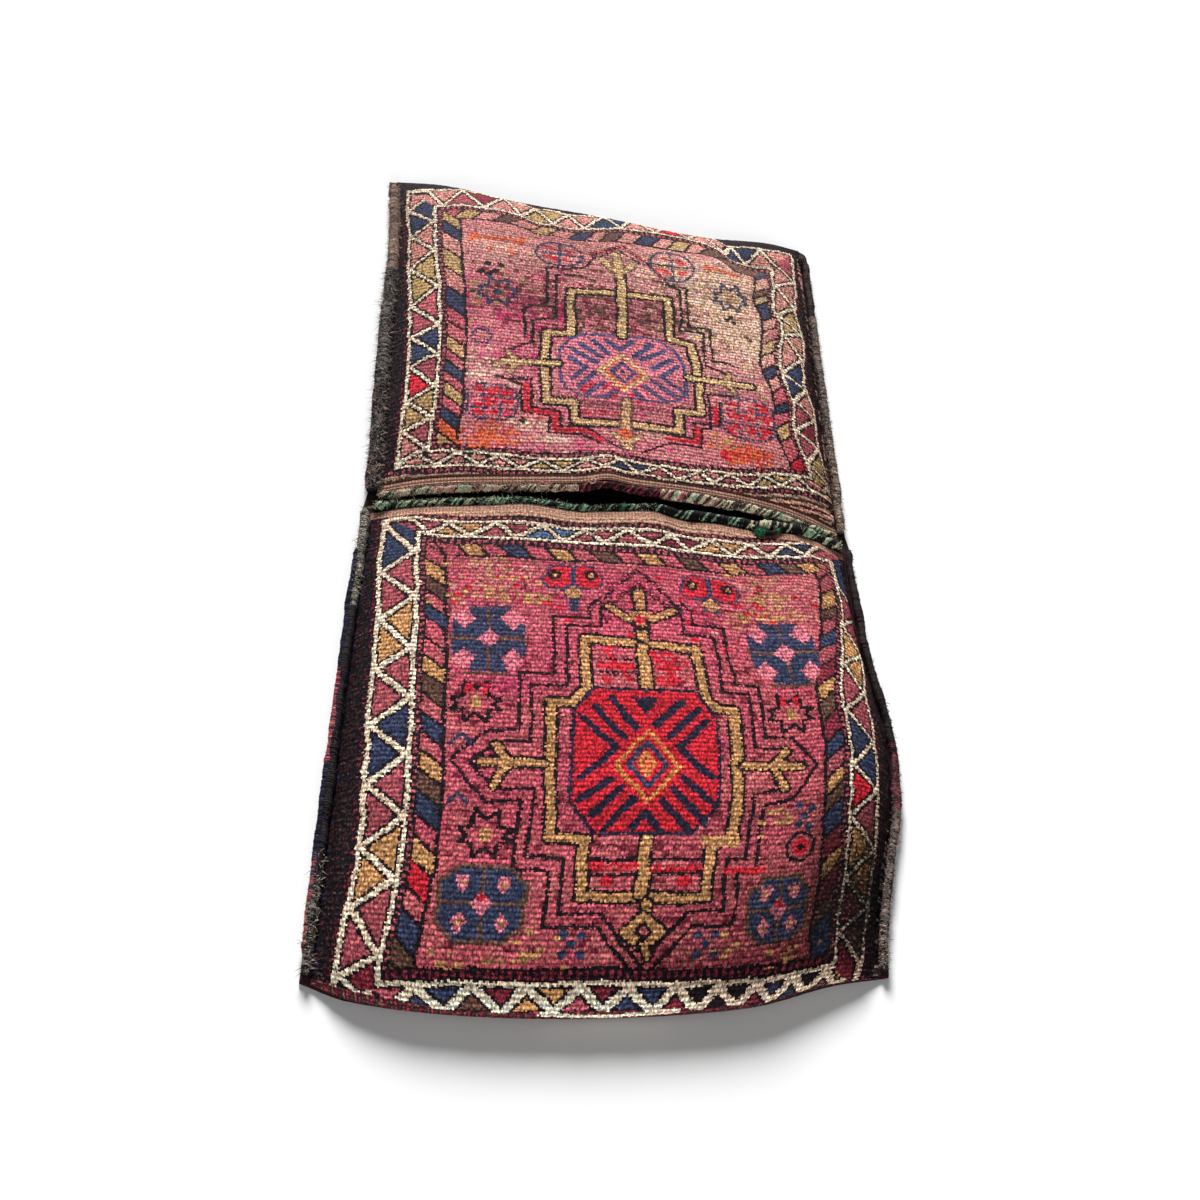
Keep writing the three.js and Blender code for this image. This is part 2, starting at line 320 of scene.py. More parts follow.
class Loom:
    """A grid of pile cells of one yarn each, drawn on in design steps: u goes right, v from far to near."""

    def __init__(self, top, bottom, rows, ground, seed):
        self.bottom = bottom
        self.rng = np.random.default_rng(seed)
        u = (np.arange(CELLS_ACROSS) + 0.5) / STEP_CELLS
        v = top + (np.arange(rows) + 0.5) * (bottom - top) / rows
        self.u, self.v = np.meshgrid(u, v)
        shape = self.u.shape
        for places in (self.u, self.v):
            places += uneven(self.rng, shape, WAVE_CELLS, WAVE_STRAY) + self.rng.normal(0, CELL_STRAY, shape)
        self.yarn = np.full(shape, YARN_ROW[ground])
        self.woven = np.zeros(shape, bool)

    def dye(self, where, yarn):
        """Lays a yarn in the cells that a mask picks."""
        self.yarn[where] = YARN_ROW[yarn]

    def box(self, yarn, left, top, right, bottom):
        self.dye((self.u >= left) & (self.u <= right) & (self.v >= top) & (self.v <= bottom), yarn)

    def lozenge(self, yarn, u, v, half_width, half_height):
        self.dye(np.abs(self.u - u) / half_width + np.abs(self.v - v) / half_height <= 1, yarn)

    def disc(self, yarn, u, v, half_width, half_height=None):
        half_height = half_height or half_width
        self.dye(((self.u - u) / half_width) ** 2 + ((self.v - v) / half_height) ** 2 <= 1, yarn)

    def shape(self, yarn, corners):
        """All knots inside a closed outline."""
        inside = np.zeros(self.u.shape, bool)
        for (u0, v0), (u1, v1) in zip(corners, corners[1:] + corners[:1]):
            if v0 == v1:
                continue
            crossing = u0 + (self.v - v0) / (v1 - v0) * (u1 - u0)
            inside ^= ((v0 > self.v) != (v1 > self.v)) & (self.u < crossing)
        self.dye(inside, yarn)

    def distance(self, points):
        """How far each knot is from a line through the points."""
        nearest = np.full(self.u.shape, np.inf)
        for (u0, v0), (u1, v1) in zip(points, points[1:]):
            run_u, run_v = u1 - u0, v1 - v0
            share = ((self.u - u0) * run_u + (self.v - v0) * run_v) / (run_u ** 2 + run_v ** 2)
            share = np.clip(share, 0, 1)
            nearest = np.minimum(nearest, np.hypot(self.u - u0 - share * run_u, self.v - v0 - share * run_v))
        return nearest

    def stroke(self, yarn, points, width):
        self.dye(self.distance(points) <= width / 2, yarn)

    def lined(self, yarn, points, width, edge="dark", edge_width=0.8):
        """A line with an outline in another yarn."""
        gap = self.distance(points)
        self.dye(gap <= width / 2 + edge_width, edge)
        self.dye(gap <= width / 2, yarn)

    def ring(self, yarn, corners, width):
        """A closed line through the corners."""
        self.stroke(yarn, corners + corners[:1], width)

    def speckle(self, yarn, u, v, half_width, half_height, share):
        """Stray knots of a yarn in streaks along the rows, thinning out from the middle of a patch."""
        near = np.exp(-((self.u - u) / half_width) ** 2 - ((self.v - v) / half_height) ** 2)
        rows, columns = self.u.shape
        coarse = self.rng.random((rows // KNOT_CELLS[0] + 1, columns // KNOT_CELLS[1] + 1))
        coarse = np.minimum(coarse, np.roll(coarse, 1, axis=1) * RUN_ON)
        coarse = coarse / self.rng.uniform(*ROW_TAKES, (len(coarse), 1))
        draw = np.repeat(np.repeat(coarse, KNOT_CELLS[0], axis=0), KNOT_CELLS[1], axis=1)[:rows, :columns]
        self.dye(draw < share * near, yarn)

    def broken(self, yarn, points, width, share):
        """A line of which only some knots are laid."""
        self.dye((self.distance(points) <= width / 2) & (self.rng.random(self.u.shape) < share), yarn)


@dataclass
class Side:
    """One side of a pile frame, in design steps from its edge inwards."""

    steps: tuple  # where the levels after the edge begin
    drift: list  # how far they wander, as (place along the side, distance)
    turns: list  # where the zigzag turns
    first_turn: str  # the line at which it starts, outer or inner
    fills: str  # the yarns of its triangles
    bars: tuple = ()  # where the slanting bars begin
    bar_yarns: str = ""
    lean: float = 0.0  # how far a bar slants over its band
    edge: str = "plain"  # plain, dotted or fold
    dots: str = "plum"
    web: str = ""  # the striped web outside a dotted edge
    line: float = 1.5  # the width of the zigzag
    spread: tuple = ((0, 1), (1, 1))  # how wide the bands inside the inner line are, as drift is


# Dark outlines: beside the zigzag, at the rims of its band, and between bars.
OUTLINE_WIDTH = 0.75
RIM_WIDTH = OUTLINE_WIDTH * 0.8
BAR_OUTLINE = OUTLINE_WIDTH * 0.75
# Rows of dots: their period, the half width of a dot as a share of its row, and the width of a dotted edge.
DOT_PERIOD = 2.0
DOT_HALF = 0.27
DOTTED_EDGE = 2.2
WEB_STRIPE = 1.2
# The plain dark edge: where its near and far dots lie, the share that is laid, and the share of wine yarn.
NEAR_DOTS, NEAR_DOTS_HALF, NEAR_DOTS_SHARE = 1.0, 0.6, 0.5
FAR_DOTS, FAR_DOTS_SHARE = 2.0, 0.35
WINE_SHARE = 0.15
# The levels of a frame, from its edge to the field, and the greatest share of the way through one.
EDGE_LEVEL, OUTER_LINE, ZIGZAG, INNER_LINE, GUARD, BARBER, GROUND_LINE, FIELD = range(8)
LEVEL_END = 0.999
NO_WIDTH = 1e-6


def yarn_rows(names):
    """The rows of the yarns that a text names."""
    return np.array([YARN_ROW[name] for name in names.split()])


def knot_zigzag(side, share, run, band):
    """A white zigzag between two lines, with each triangle in the yarn of the turn at its tip."""
    turns = np.array(side.turns, float)
    fills = yarn_rows(side.fills)
    leg = np.clip(np.searchsorted(turns, run) - 1, 0, len(turns) - 2)
    length = turns[leg + 1] - turns[leg]
    step = np.clip((run - turns[leg]) / length, 0, 1)
    inward = (leg % 2 == 0) == (side.first_turn == "outer")
    wave = np.where(inward, step, 1 - step)
    gap = np.abs(share - wave) * band * length / np.hypot(length, band)
    tip = leg + np.where((share > wave) == inward, 0, 1)
    knots = fills[tip % len(fills)]
    rim = np.minimum(share, 1 - share) * band
    knots[(gap < side.line / 2 + OUTLINE_WIDTH) | (rim < RIM_WIDTH)] = YARN_ROW["dark"]
    knots[gap < side.line / 2] = YARN_ROW["ivory"]
    return knots


def knot_barber(side, share, run):
    """Slanting bars in changing yarns."""
    bars = np.array(side.bars, float)
    yarns = yarn_rows(side.bar_yarns)
    slanted = run - side.lean * share
    bar = np.clip(np.searchsorted(bars, slanted) - 1, 0, len(yarns) - 1)
    knots = yarns[bar]
    gap = np.min(np.abs(slanted[:, None] - bars), axis=1)
    knots[gap < BAR_OUTLINE] = YARN_ROW["dark"]
    return knots


def knot_dots(share, run, ground, dot):
    """A row of dots on a dark ground."""
    spot = (np.abs(share - 0.5) < DOT_HALF) & (run % DOT_PERIOD < DOT_PERIOD / 2)
    return np.where(spot, YARN_ROW[dot], YARN_ROW[ground])


def weave_frame(loom, sides):
    """The frame round a field, mitred: a knot belongs to the side on which it lies furthest out."""
    ranks, parts = [], []
    for name, side in sides.items():
        upright = name in ("left", "right")
        run = loom.v if upright else loom.u
        sway = through(side.drift)(run)
        place = {
            "left": loom.u - sway, "right": STEPS_ACROSS - loom.u + sway,
            "top": loom.v - sway, "bottom": loom.bottom - loom.v + sway,
        }[name]
        guard = side.steps[INNER_LINE]
        place = np.where(place > guard, guard + (place - guard) / through(side.spread)(run), place)
        starts = np.array((0.0,) + side.steps)
        widths = np.diff(np.append(starts, starts[-1] + 1))
        level = np.searchsorted(side.steps, place, side="right")
        share = np.clip((place - starts[level]) / np.maximum(widths[level], NO_WIDTH), 0, LEVEL_END)
        ranks.append(level + share)
        parts.append((side, level, share, run, side.steps[EDGE_LEVEL] - place, widths))
    owner = np.argmin(ranks, axis=0)
    for number, (side, level, share, run, outside, widths) in enumerate(parts):
        edge = (owner == number) & (level == EDGE_LEVEL)
        loom.yarn[edge] = knot_edge(loom, side, share[edge], run[edge], outside[edge])
        if side.edge == "dotted":
            loom.woven |= edge & (outside >= DOTTED_EDGE)
        for band in range(OUTER_LINE, FIELD):
            here = (owner == number) & (level == band)
            if here.any():
                loom.yarn[here] = knot_band(side, band, share[here], run[here], widths[band])


def knot_band(side, band, share, run, width):
    """The knots of one band of one side."""
    if band == ZIGZAG:
        return knot_zigzag(side, share, run, width)
    if band == GUARD:
        return knot_dots(share, run, "dark", side.dots)
    if band == BARBER:
        return knot_barber(side, share, run)
    if band in (OUTER_LINE, INNER_LINE):
        return np.full(share.shape, YARN_ROW["ivory"])
    return np.full(share.shape, YARN_ROW["dark"])


def knot_edge(loom, side, share, run, outside):
    """The edge of a frame, outside its outer line: dots and a striped web, a ribbed fold, or dark yarn."""
    if side.edge == "dotted":
        dotted = knot_dots(outside / DOTTED_EDGE, run, "dark", side.dots)
        web = yarn_rows(side.web)
        stripe = web[np.maximum(outside / WEB_STRIPE, 0).astype(int) % len(web)]
        return np.where(outside < DOTTED_EDGE, dotted, stripe)
    if side.edge == "fold":
        return np.where(run % DOT_PERIOD < DOT_PERIOD / 2, YARN_ROW["maroon"], YARN_ROW["hair"])
    chance = loom.rng.random(share.shape)
    raised = (run % DOT_PERIOD < DOT_PERIOD / 2) & (share > 0)
    near_dot = raised & (np.abs(outside - NEAR_DOTS) < NEAR_DOTS_HALF) & (chance < NEAR_DOTS_SHARE)
    far_dot = raised & (outside > FAR_DOTS) & (chance < FAR_DOTS_SHARE)
    plain = np.where(chance > 1 - WINE_SHARE, YARN_ROW["wine"], YARN_ROW["soot"])
    return np.select([near_dot, far_dot], [YARN_ROW["maroon"], YARN_ROW["hair"]], plain)


# The outermost steps of both sides, and their yarns in stretches, each up to a place along the face.
SELVEDGE = 2.0
LOWER_SELVEDGES = {
    "left": [(160, "soot ink wine soot")],
    "right": [(60, "hair wine soot soot"), (105, "soot hair soot"), (160, "soot hair ash soot")],
}
UPPER_SELVEDGES = {
    "left": [(45, "soot wine soot hair"), (136, "soot ash soot hair")],
    "right": [(136, "hair soot clay soot ash")],
}


def knot_selvedges(loom, selvedges):
    """The outermost cells of both sides, which the seam's yarn is sewn over: ribs in changing yarns."""
    rib = (np.arange(len(loom.yarn)) // STEP_CELLS)[:, None] + 0 * loom.yarn
    for name, stretches in selvedges.items():
        edge = loom.u if name == "left" else STEPS_ACROSS - loom.u
        top = -np.inf
        for end, yarns in stretches:
            pool = yarn_rows(yarns)
            picks = pool[loom.rng.integers(len(pool), size=rib.max() + 1)][rib]
            here = (edge < SELVEDGE) & (loom.v > top) & (loom.v <= end)
            loom.yarn[here] = picks[here]
            top = end


# How wide the lower face's ribbed lip is, by the place across, and its yarns.
LOWER_LIP = [(0, 5.2), (14, 4.6), (30, 3.4), (46, 2.2), (58, 1.0), (100, 0.9), (148, 1.4)]
LIP_YARNS = "brown wine maroon wine hair wine"


def knot_lip(loom):
    """The ribbed web between the lower face's last knots and its fold, widest at the left."""
    here = loom.bottom - loom.v < through(LOWER_LIP)(loom.u)
    pool = yarn_rows(LIP_YARNS)
    loom.yarn[here] = pool[(loom.u[here] * STEP_CELLS).astype(int) % len(pool)]
    loom.woven |= here


# Where each design begins and ends along its face, from the far edge, and the frame round its field.
LOWER_DESIGN = (0.0, 160.0)
LOWER_FRAME = {
    "left": Side(
        steps=(7.3, 8.7, 18.4, 19.6, 21.6, 26.6, 27.6),
        drift=[(0, -3), (10, -2.6), (20, -1.7), (30, -0.35), (45, 0.7), (60, 1.3), (80, 1.85), (100, 2.7),
               (115, 3), (130, 2.2), (140, 0.9), (150, -0.7), (160, -2)],
        turns=[4, 17.5, 25, 36, 43, 55, 61, 72, 80, 90, 99, 108, 117, 126, 134, 146, 152, 158],
        first_turn="outer",
        fills="navy navy plum plum ochre ochre plum plum navy navy plum plum ochre ochre plum plum maroon "
              "dark",
        bars=(14, 20.5, 27.5, 33, 38.5, 44, 51, 57, 63, 70, 76, 82, 88, 94, 100, 107, 113, 120, 127, 133,
              140.5, 147),
        bar_yarns="rose ochre brown rose navy rose rose ochre brown rose navy rose ochre brown navy rose "
                  "ochre red rose navy brown",
        lean=4.5),
    "right": Side(
        steps=(6.0, 6.9, 14.6, 15.4, 17.3, 21.8, 22.8),
        drift=[(0, 9), (20, 8.8), (27, 8), (35, 6.5), (42, 5), (47, 3.5), (53, 1.5), (60, -0.5), (65, -1.3),
               (85, -1.5), (95, -1.7), (103, -1.2), (110, -0.3), (120, 0.5), (130, 0.6), (140, 0.3),
               (160, -0.2)],
        turns=[16, 25, 34, 43, 52, 61, 71, 80, 90, 97, 107, 116, 126, 135, 143, 152],
        first_turn="inner",
        fills="navy plum plum ochre ochre plum plum navy navy red plum ochre ochre plum brown maroon",
        bars=(12, 19, 27, 32, 38, 44, 51, 58, 64, 70.5, 78, 84, 90, 95.5, 101, 109, 116, 122, 130, 136, 147),
        bar_yarns="plum ochre brown plum navy plum maroon ochre brown maroon navy plum ochre brown navy "
                  "maroon ochre maroon brown navy",
        lean=5, line=0.95),
    "top": Side(
        steps=(4.1, 5.2, 10.6, 11.7, 14.6, 18.7, 19.5),
        drift=[(0, -4), (14, -3), (20, -1), (28, 0), (105, 0.3), (112, -0.5), (120, -1.8), (126, -2.2),
               (130, -2.6), (134, -4.5), (140, -6.2), (148, -8)],
        turns=[13, 19.5, 25, 31.5, 38.5, 45, 52, 59, 65, 71, 78, 85, 91.5, 96.5, 103, 109, 115, 121, 127,
               133, 139],
        first_turn="outer",
        fills="plum plum ochre ochre plum plum blue blue plum plum plum plum maroon maroon ochre ochre "
              "plum plum navy navy plum",
        bars=(22, 28, 34.5, 40.5, 47, 53.5, 60, 66.5, 73, 79.5, 86, 92, 98, 104, 110, 116, 122, 128, 135),
        bar_yarns="rose ochre rose navy rose ochre rose brown rose ochre rose brown rose ochre rose navy "
                  "brown ochre",
        lean=3, edge="dotted", dots="plum", web="fawn tan fawn tan", line=1.25),
    "bottom": Side(
        steps=(2.2, 2.2, 8.9, 10.1, 13.3, 13.3, 13.3),
        drift=[(0, 3), (10, 2.5), (20, 1.7), (30, 0.5), (40, -0.2), (60, -0.5), (70, -1), (80, -0.7),
               (90, 0), (110, 0.5), (120, 1.5), (148, 2)],
        turns=[6, 13, 20, 27, 34, 41, 47.5, 54, 60.5, 67, 73, 79, 85, 91.5, 97, 102, 107, 112, 117, 122,
               127, 131, 136, 140],
        first_turn="outer",
        fills="maroon plum plum navy navy brown maroon ochre ochre plum maroon navy navy maroon dark dark "
              "dark maroon navy navy dark brown ochre maroon",
        edge="fold", dots="maroon", line=2.1),
}

UPPER_DESIGN = (-6.0, 136.0)
UPPER_FRAME = {
    "left": Side(
        steps=(6.9, 8.0, 16.8, 17.8, 19.8, 25.3, 26.3),
        drift=[(0, -3.7), (12, -3.4), (23, -2.9), (31, -2.3), (38, -1.7), (50, -0.7), (56, 0.2), (62, 0.8),
               (70, 1.4), (85, 1.7), (100, 1.5), (110, 1.2), (116, 0.6), (121, 0), (129, -1), (136, -1.5)],
        turns=[5, 14, 23, 29, 38.5, 47, 57, 65, 75, 80, 88, 93, 102, 107, 115, 119, 126, 130],
        first_turn="inner",
        fills="salmon navy navy salmon salmon khaki khaki rose plum navy navy plum red khaki khaki plum "
              "salmon salmon",
        bars=(16, 22.5, 28.5, 37.5, 47, 57, 66, 73, 80, 86, 91, 95.5, 100, 105.5, 110, 114.5, 120, 126),
        bar_yarns="khaki navy salmon khaki salmon navy rose rose khaki rose navy rose khaki rose navy "
                  "orange khaki",
        lean=5, line=1.15),
    "right": Side(
        steps=(5.6, 6.6, 14.6, 15.6, 17.3, 21.7, 22.6),
        drift=[(0, 2), (9, 1.8), (18, 1.2), (24, 0.6), (29, 0), (33, -0.8), (38, -1.6), (43, -1.3),
               (47, -0.3), (51, 0.3), (57, 0.3), (62, -0.8), (68, -1.6), (72, -1.75), (78, -1.5),
               (83, -0.3), (88, 1), (95, 1.2), (100, 0.9), (105, 1.2), (110, 2.3), (115, 3.8), (118, 5),
               (121, 6), (124, 8), (130, 11)],
        turns=[11.5, 20.6, 28.8, 37.3, 46.5, 50.2, 55.7, 64.5, 76.3, 79.8, 88, 91.5, 102.8, 105.2, 115.5,
               119, 126],
        first_turn="inner",
        fills="plum salmon salmon salmon khaki khaki salmon salmon navy navy salmon plum maroon plum khaki "
              "khaki salmon",
        bars=(16, 24, 32, 36, 40, 47, 53, 60, 66, 73, 78, 83.5, 90, 94, 100, 106, 114, 120, 126),
        bar_yarns="navy salmon brown khaki navy salmon rose khaki salmon navy salmon rose navy rose khaki "
                  "rose red navy",
        lean=4, line=1.15),
    "top": Side(
        steps=(1.0, 2.2, 13.2, 14.4, 17.0, 22.8, 23.8),
        drift=[(0, 0.2), (10, -0.4), (17, -1), (24, -3.4), (31, -4.6), (37, -5.4), (43, -5.2), (46, -3.6),
               (50, -1.2), (56, -1.7), (63, -0.6), (68, -2.4), (74, -5.4), (78, -7.4), (82, -8.7),
               (89, -10.5), (96, -11.4), (103, -11.6), (109, -11.2), (112, -9.6), (115, -6.4), (117, -2.4),
               (119, 1.6), (122, 2.2), (126, 1.4), (133, 1.2), (148, -1.5)],
        turns=[11, 16.7, 24, 31.5, 38.9, 44.6, 50.3, 55.9, 62.2, 67.6, 75.3, 80.7, 87, 94, 100, 105.9,
               111.8, 117, 120.4, 125, 132, 136.4],
        first_turn="outer",
        fills="salmon salmon plum maroon salmon salmon khaki khaki salmon salmon navy navy salmon salmon "
              "red plum salmon salmon navy navy salmon salmon",
        bars=(18, 24, 31, 38, 44.5, 51, 58, 64.5, 70.5, 76, 82, 88.5, 94.5, 100.5, 106.5, 112, 117.5),
        bar_yarns="rose khaki salmon brown salmon khaki salmon navy salmon brown salmon navy salmon khaki "
                  "salmon brown",
        lean=-4, line=1.15,
        spread=[(24, 1), (60, 0.9), (76, 1.1), (86, 1.3), (100, 1.42), (114, 1.3), (120, 1.1)]),
    "bottom": Side(
        steps=(2.0, 2.9, 7.1, 8.0, 10.2, 10.2, 10.2),
        drift=[(0, -2.5), (6, -2), (15, -1.3), (24, -1), (32, -0.7), (40, 0.3), (50, 1.2), (58, 1.4),
               (63, 1), (70, 0.6), (78, 1), (81, 1.2), (89, 1.6), (100, 1.3), (106, 0.8), (110, 0.4),
               (118, -1.2), (124, -3.2), (132, -5.5), (140, -7.5), (148, -9)],
        turns=[12.5, 19, 25.5, 32, 38.6, 45, 51.4, 58, 65, 71, 76.5, 82, 87.9, 95, 100.9, 106, 111, 117,
               122, 128, 133.9, 139],
        first_turn="inner",
        fills="salmon salmon salmon salmon salmon salmon khaki khaki salmon salmon navy navy plum plum "
              "salmon salmon plum plum khaki khaki salmon salmon",
        edge="dotted", web="fawn wine tan hair fawn wine", line=0.9),
}

DARK_LINE = 1.0
BAR_WIDTH = 2.0


def placed(u, v, corners, wide=1.0, high=1.0):
    """Corners that are given from a figure's middle, at the figure's place and size."""
    return [(u + a * wide, v + b * high) for a, b in corners]


ROSETTE = [(-6, -11.5), (6, -11.5), (3, -6.5), (9.5, -6.5), (9.5, 6), (3, 6), (5.5, 11.5), (-5.5, 11.5),
           (-3, 6), (-9.5, 6), (-9.5, -6.5), (-3, -6.5)]
ROSETTE_LINES = (([(-10, 0), (10, 0)], 1.3), ([(0, -10), (0, 10)], 0.8), ([(-6, 12.2), (6, 12.2)], 1.0))


def knot_rosette(loom, u, v):
    """A navy cross with flared arms, four pink lozenges in its corners and one at its heart."""
    loom.shape("navy", placed(u, v, ROSETTE))
    for at in placed(u, v, [(-6.4, -7), (-6.4, 7), (6.4, -7), (6.4, 7)]):
        loom.lozenge("pink", *at, 3.0, 3.8)
    for line, width in ROSETTE_LINES:
        loom.stroke("brown", placed(u, v, line), width)
    loom.lozenge("pink", u, v, 3.0, 3.5)


CROSS = ([(0, -1), (0, 1)], [(-1, 0), (1, 0)])
OCTAGON = [(-1, -0.55), (-0.55, -1), (0.55, -1), (1, -0.55), (1, 0.55), (0.55, 1), (-0.55, 1), (-1, 0.55)]
WEDGE = [(-1.6, -2.2), (1.6, -2.2), (1.4, 1), (0, 2.6), (-1.4, 1)]


def knot_octagon(loom, u, v, wide, high):
    """A navy octagon with a brown rim, two pink wedges over two pink drops, and a pink heart."""
    rim = placed(u, v, OCTAGON, wide, high)
    loom.shape("navy", rim)
    loom.ring("brown", rim, 1.2)
    for line in CROSS:
        loom.stroke("brown", placed(u, v, line, wide, high), 1.0)
    for hand in (-1, 1):
        top, low = placed(u, v, [(hand * 0.48, -0.52), (hand * 0.48, 0.5)], wide, high)
        loom.shape("pink", placed(*top, WEDGE))
        loom.lozenge("pink", *low, 1.9, 2.7)
        for eye in (top, low):
            loom.disc("ochre", *eye, 0.7)
    loom.lozenge("pink", u, v, 2.6, 3.4)
    loom.lozenge("red", u, v - 1.6, 1.3, 1.3)


STAR = [(-3.3, -7.3), (-0.2, -4.2), (2.8, -7.3), (3.1, -2.4), (6.6, -1.6), (4.6, 0.4), (6.4, 2), (3.2, 2.4),
        (2.8, 6.4), (0, 3.8), (-3, 6.4), (-3.4, 2.4), (-6.5, 2), (-5, 0.2), (-6.3, -1.6), (-3.4, -2.4)]


def knot_star(loom, u, v, line="dark", scale=1.0):
    """An eight-pointed star in outline, with an ochre heart."""
    loom.ring(line, placed(u, v, STAR, scale, scale), 1.1)
    loom.box("ochre", u - 1.3 * scale, v - 2 * scale, u + 1.3 * scale, v + 2 * scale)


LOBE = [(0.7, -4), (3, -4.6), (6.5, -3), (8, 1), (7, 4), (3, 4.6), (0.7, 3)]


def knot_flower(loom, u, v):
    """Two red lobes with dark eyes over an ochre calyx, outlined in navy."""
    for hand in (-1, 1):
        lobe = placed(u, v, LOBE, hand)
        loom.ring("navy", lobe, 1.4)
        loom.shape("red", lobe)
        loom.disc("dark", u + hand * 5, v - 0.8, 2.0)
        loom.disc("ochre", u + hand * 5, v - 0.8, 0.8)
    loom.lined("ochre", [(u, v + 6.4), (u + 0.1, v + 7.0)], 3.6, "navy", 0.8)
    loom.lozenge("ochre", u, v + 6.6, 2.8, 2.8)


def knot_branch(loom, yarn, stem, width, arms, arm_width, arm_edge=("dark", 0.8), stem_edge=("dark", 0.8)):
    """A lined stem and the lined arms that meet it, with the stem's own yarn on top where they meet."""
    loom.lined(yarn, stem, width, *stem_edge)
    for arm in arms:
        loom.lined(yarn, arm, arm_width, *arm_edge)
    loom.stroke(yarn, stem, width)


def knot_heart(loom, lozenges):
    """Lozenges inside one another: yarn, u, v, half width, half height."""
    for lozenge in lozenges:
        loom.lozenge(*lozenge)


def knot_lower_medallion(loom):
    """The stepped gold ring with its red octagon, centred a little right of the middle."""
    ring = [(64, 49.2), (94, 51), (94.2, 68), (96.5, 71.5), (101, 71.7), (101.2, 112.6), (98, 113),
            (96.2, 115.5), (96.2, 128.6), (65.3, 128), (65.2, 112), (56.6, 112), (55, 90), (54.8, 71),
            (60.5, 71), (64, 66.5)]
    loom.lined("ochre", ring + ring[:1], 2.3)
    loom.box("ochre", 93.6, 111.2, 103, 114.6)
    for stem in ([(79.4, 51), (79.4, 66)], [(80.2, 111.5), (80.2, 127.5)]):
        loom.lined("ochre", stem, 2.8)
    octagon = [(66, 66), (92.5, 66.3), (95, 73), (96.6, 76), (96.6, 103), (91, 110.6), (67, 110.6),
               (60.5, 101.5), (60, 74)]
    loom.shape("red", octagon)
    loom.ring("ink", octagon, 1.0)
    bars = [[(62, 75.5), (71, 85), (62.5, 94)], [(66, 72), (73, 82)], [(70, 69), (76, 78.5)],
            [(88, 70), (81, 78)], [(92, 72), (84, 81.5)], [(94, 76), (86.5, 84.5), (94.5, 94)],
            [(70, 94.5), (62.5, 101)], [(72.5, 97), (66, 105)], [(75.5, 100.5), (69, 109.5)],
            [(76, 109), (79, 104.5), (83, 110)], [(88, 94), (95.5, 102)], [(85.5, 97.5), (94, 107.5)],
            [(83, 101), (90.5, 110)]]
    for bar in bars:
        loom.stroke("ink", bar, BAR_WIDTH)
    loom.shape("ink", [(75, 68.5), (82, 68.5), (78.5, 75)])
    knot_heart(loom, [("amber", 79, 90.8, 8.6, 11.6), ("red", 79, 90.6, 7.0, 9.8),
                      ("navy", 78.9, 90.2, 5.6, 7.6), ("red", 78.9, 90.2, 3.9, 5.6),
                      ("amber", 78.6, 90, 2.5, 4), ("orange", 78.6, 90, 1.3, 2.2)])


def knot_lower_compartments(loom):
    """Red creeping figures in the four corners of the gold ring."""
    loom.box("red", 67.5, 57, 76.5, 59)
    loom.stroke("red", [(69.3, 52.7), (71.5, 57)], 1.7)
    loom.stroke("red", [(73.5, 59), (75.5, 63)], 1.4)
    loom.disc("red", 69, 63, 1.2)
    for v in (55.8, 60.5):
        loom.broken("dark", [(67, v), (77, v)], 0.9, 0.7)
    loom.box("red", 82, 57.6, 89.5, 59.2)
    loom.stroke("red", [(88, 54.5), (85.5, 58.5), (88, 63)], 1.5)
    for v in (55, 63):
        loom.speckle("red", 84.5, v, 3, 2, 0.7)
    for left, right in ((67, 78.5), (82.5, 94.5)):
        for v in (118, 122):
            loom.stroke("dark", [(left, v), (right, v)], 0.9)
        loom.broken("maroon", [(left, 114.5), (right, 114.5)], 1.6, 0.5)
    loom.broken("red", [(67.5, 119.8), (78, 119.8)], 2.2, 0.7)
    loom.broken("red", [(82.5, 120.8), (94, 120.8)], 1.8, 0.8)
    loom.disc("red", 71, 123.6, 1.6)
    loom.disc("red", 90.5, 124, 1.8, 1.4)


def knot_lower_arms(loom):
    """The gold stems and tridents that stand out from the ring, and the anchor on top."""
    loom.lined("ochre", [(80.2, 31), (80.2, 48)], 2.8)
    loom.lined("ochre", [(71.5, 36.8), (74, 38.8), (77, 41)], 2.0)
    loom.lined("ochre", [(89, 37.2), (86.4, 39), (83.5, 41)], 2.0)
    loom.box("ochre", 77.2, 38.4, 83.2, 41)
    loom.stroke("dark", [(77.5, 37.6), (83, 37.6)], 0.9)
    loom.lozenge("red", 80, 41.2, 2.1, 2.3)
    loom.shape("dark", [(77, 43.5), (83.2, 43.5), (80.1, 45.6)])
    knot_branch(loom, "ochre", [(38.5, 90.6), (53.5, 90.6)], 2.3,
                [[(41.2, 85.6), (44.5, 89.8)], [(41.8, 97.5), (44.5, 91.6)]], 1.8)
    knot_branch(loom, "ochre", [(103, 89.8), (117, 89.6)], 2.3,
                [[(113.6, 85), (110.6, 89)], [(113, 97), (110.2, 90.6)]], 1.8)
    loom.lined("ochre", [(81.8, 130), (81.8, 134)], 2.2)
    loop = [(81.6, 133.6), (77.3, 137.4), (81.6, 141), (86, 137.4)]
    loom.lined("ochre", loop + loop[:1], 2.2)
    loom.lined("ochre", [(81.6, 140.5), (83, 143.6)], 1.5)


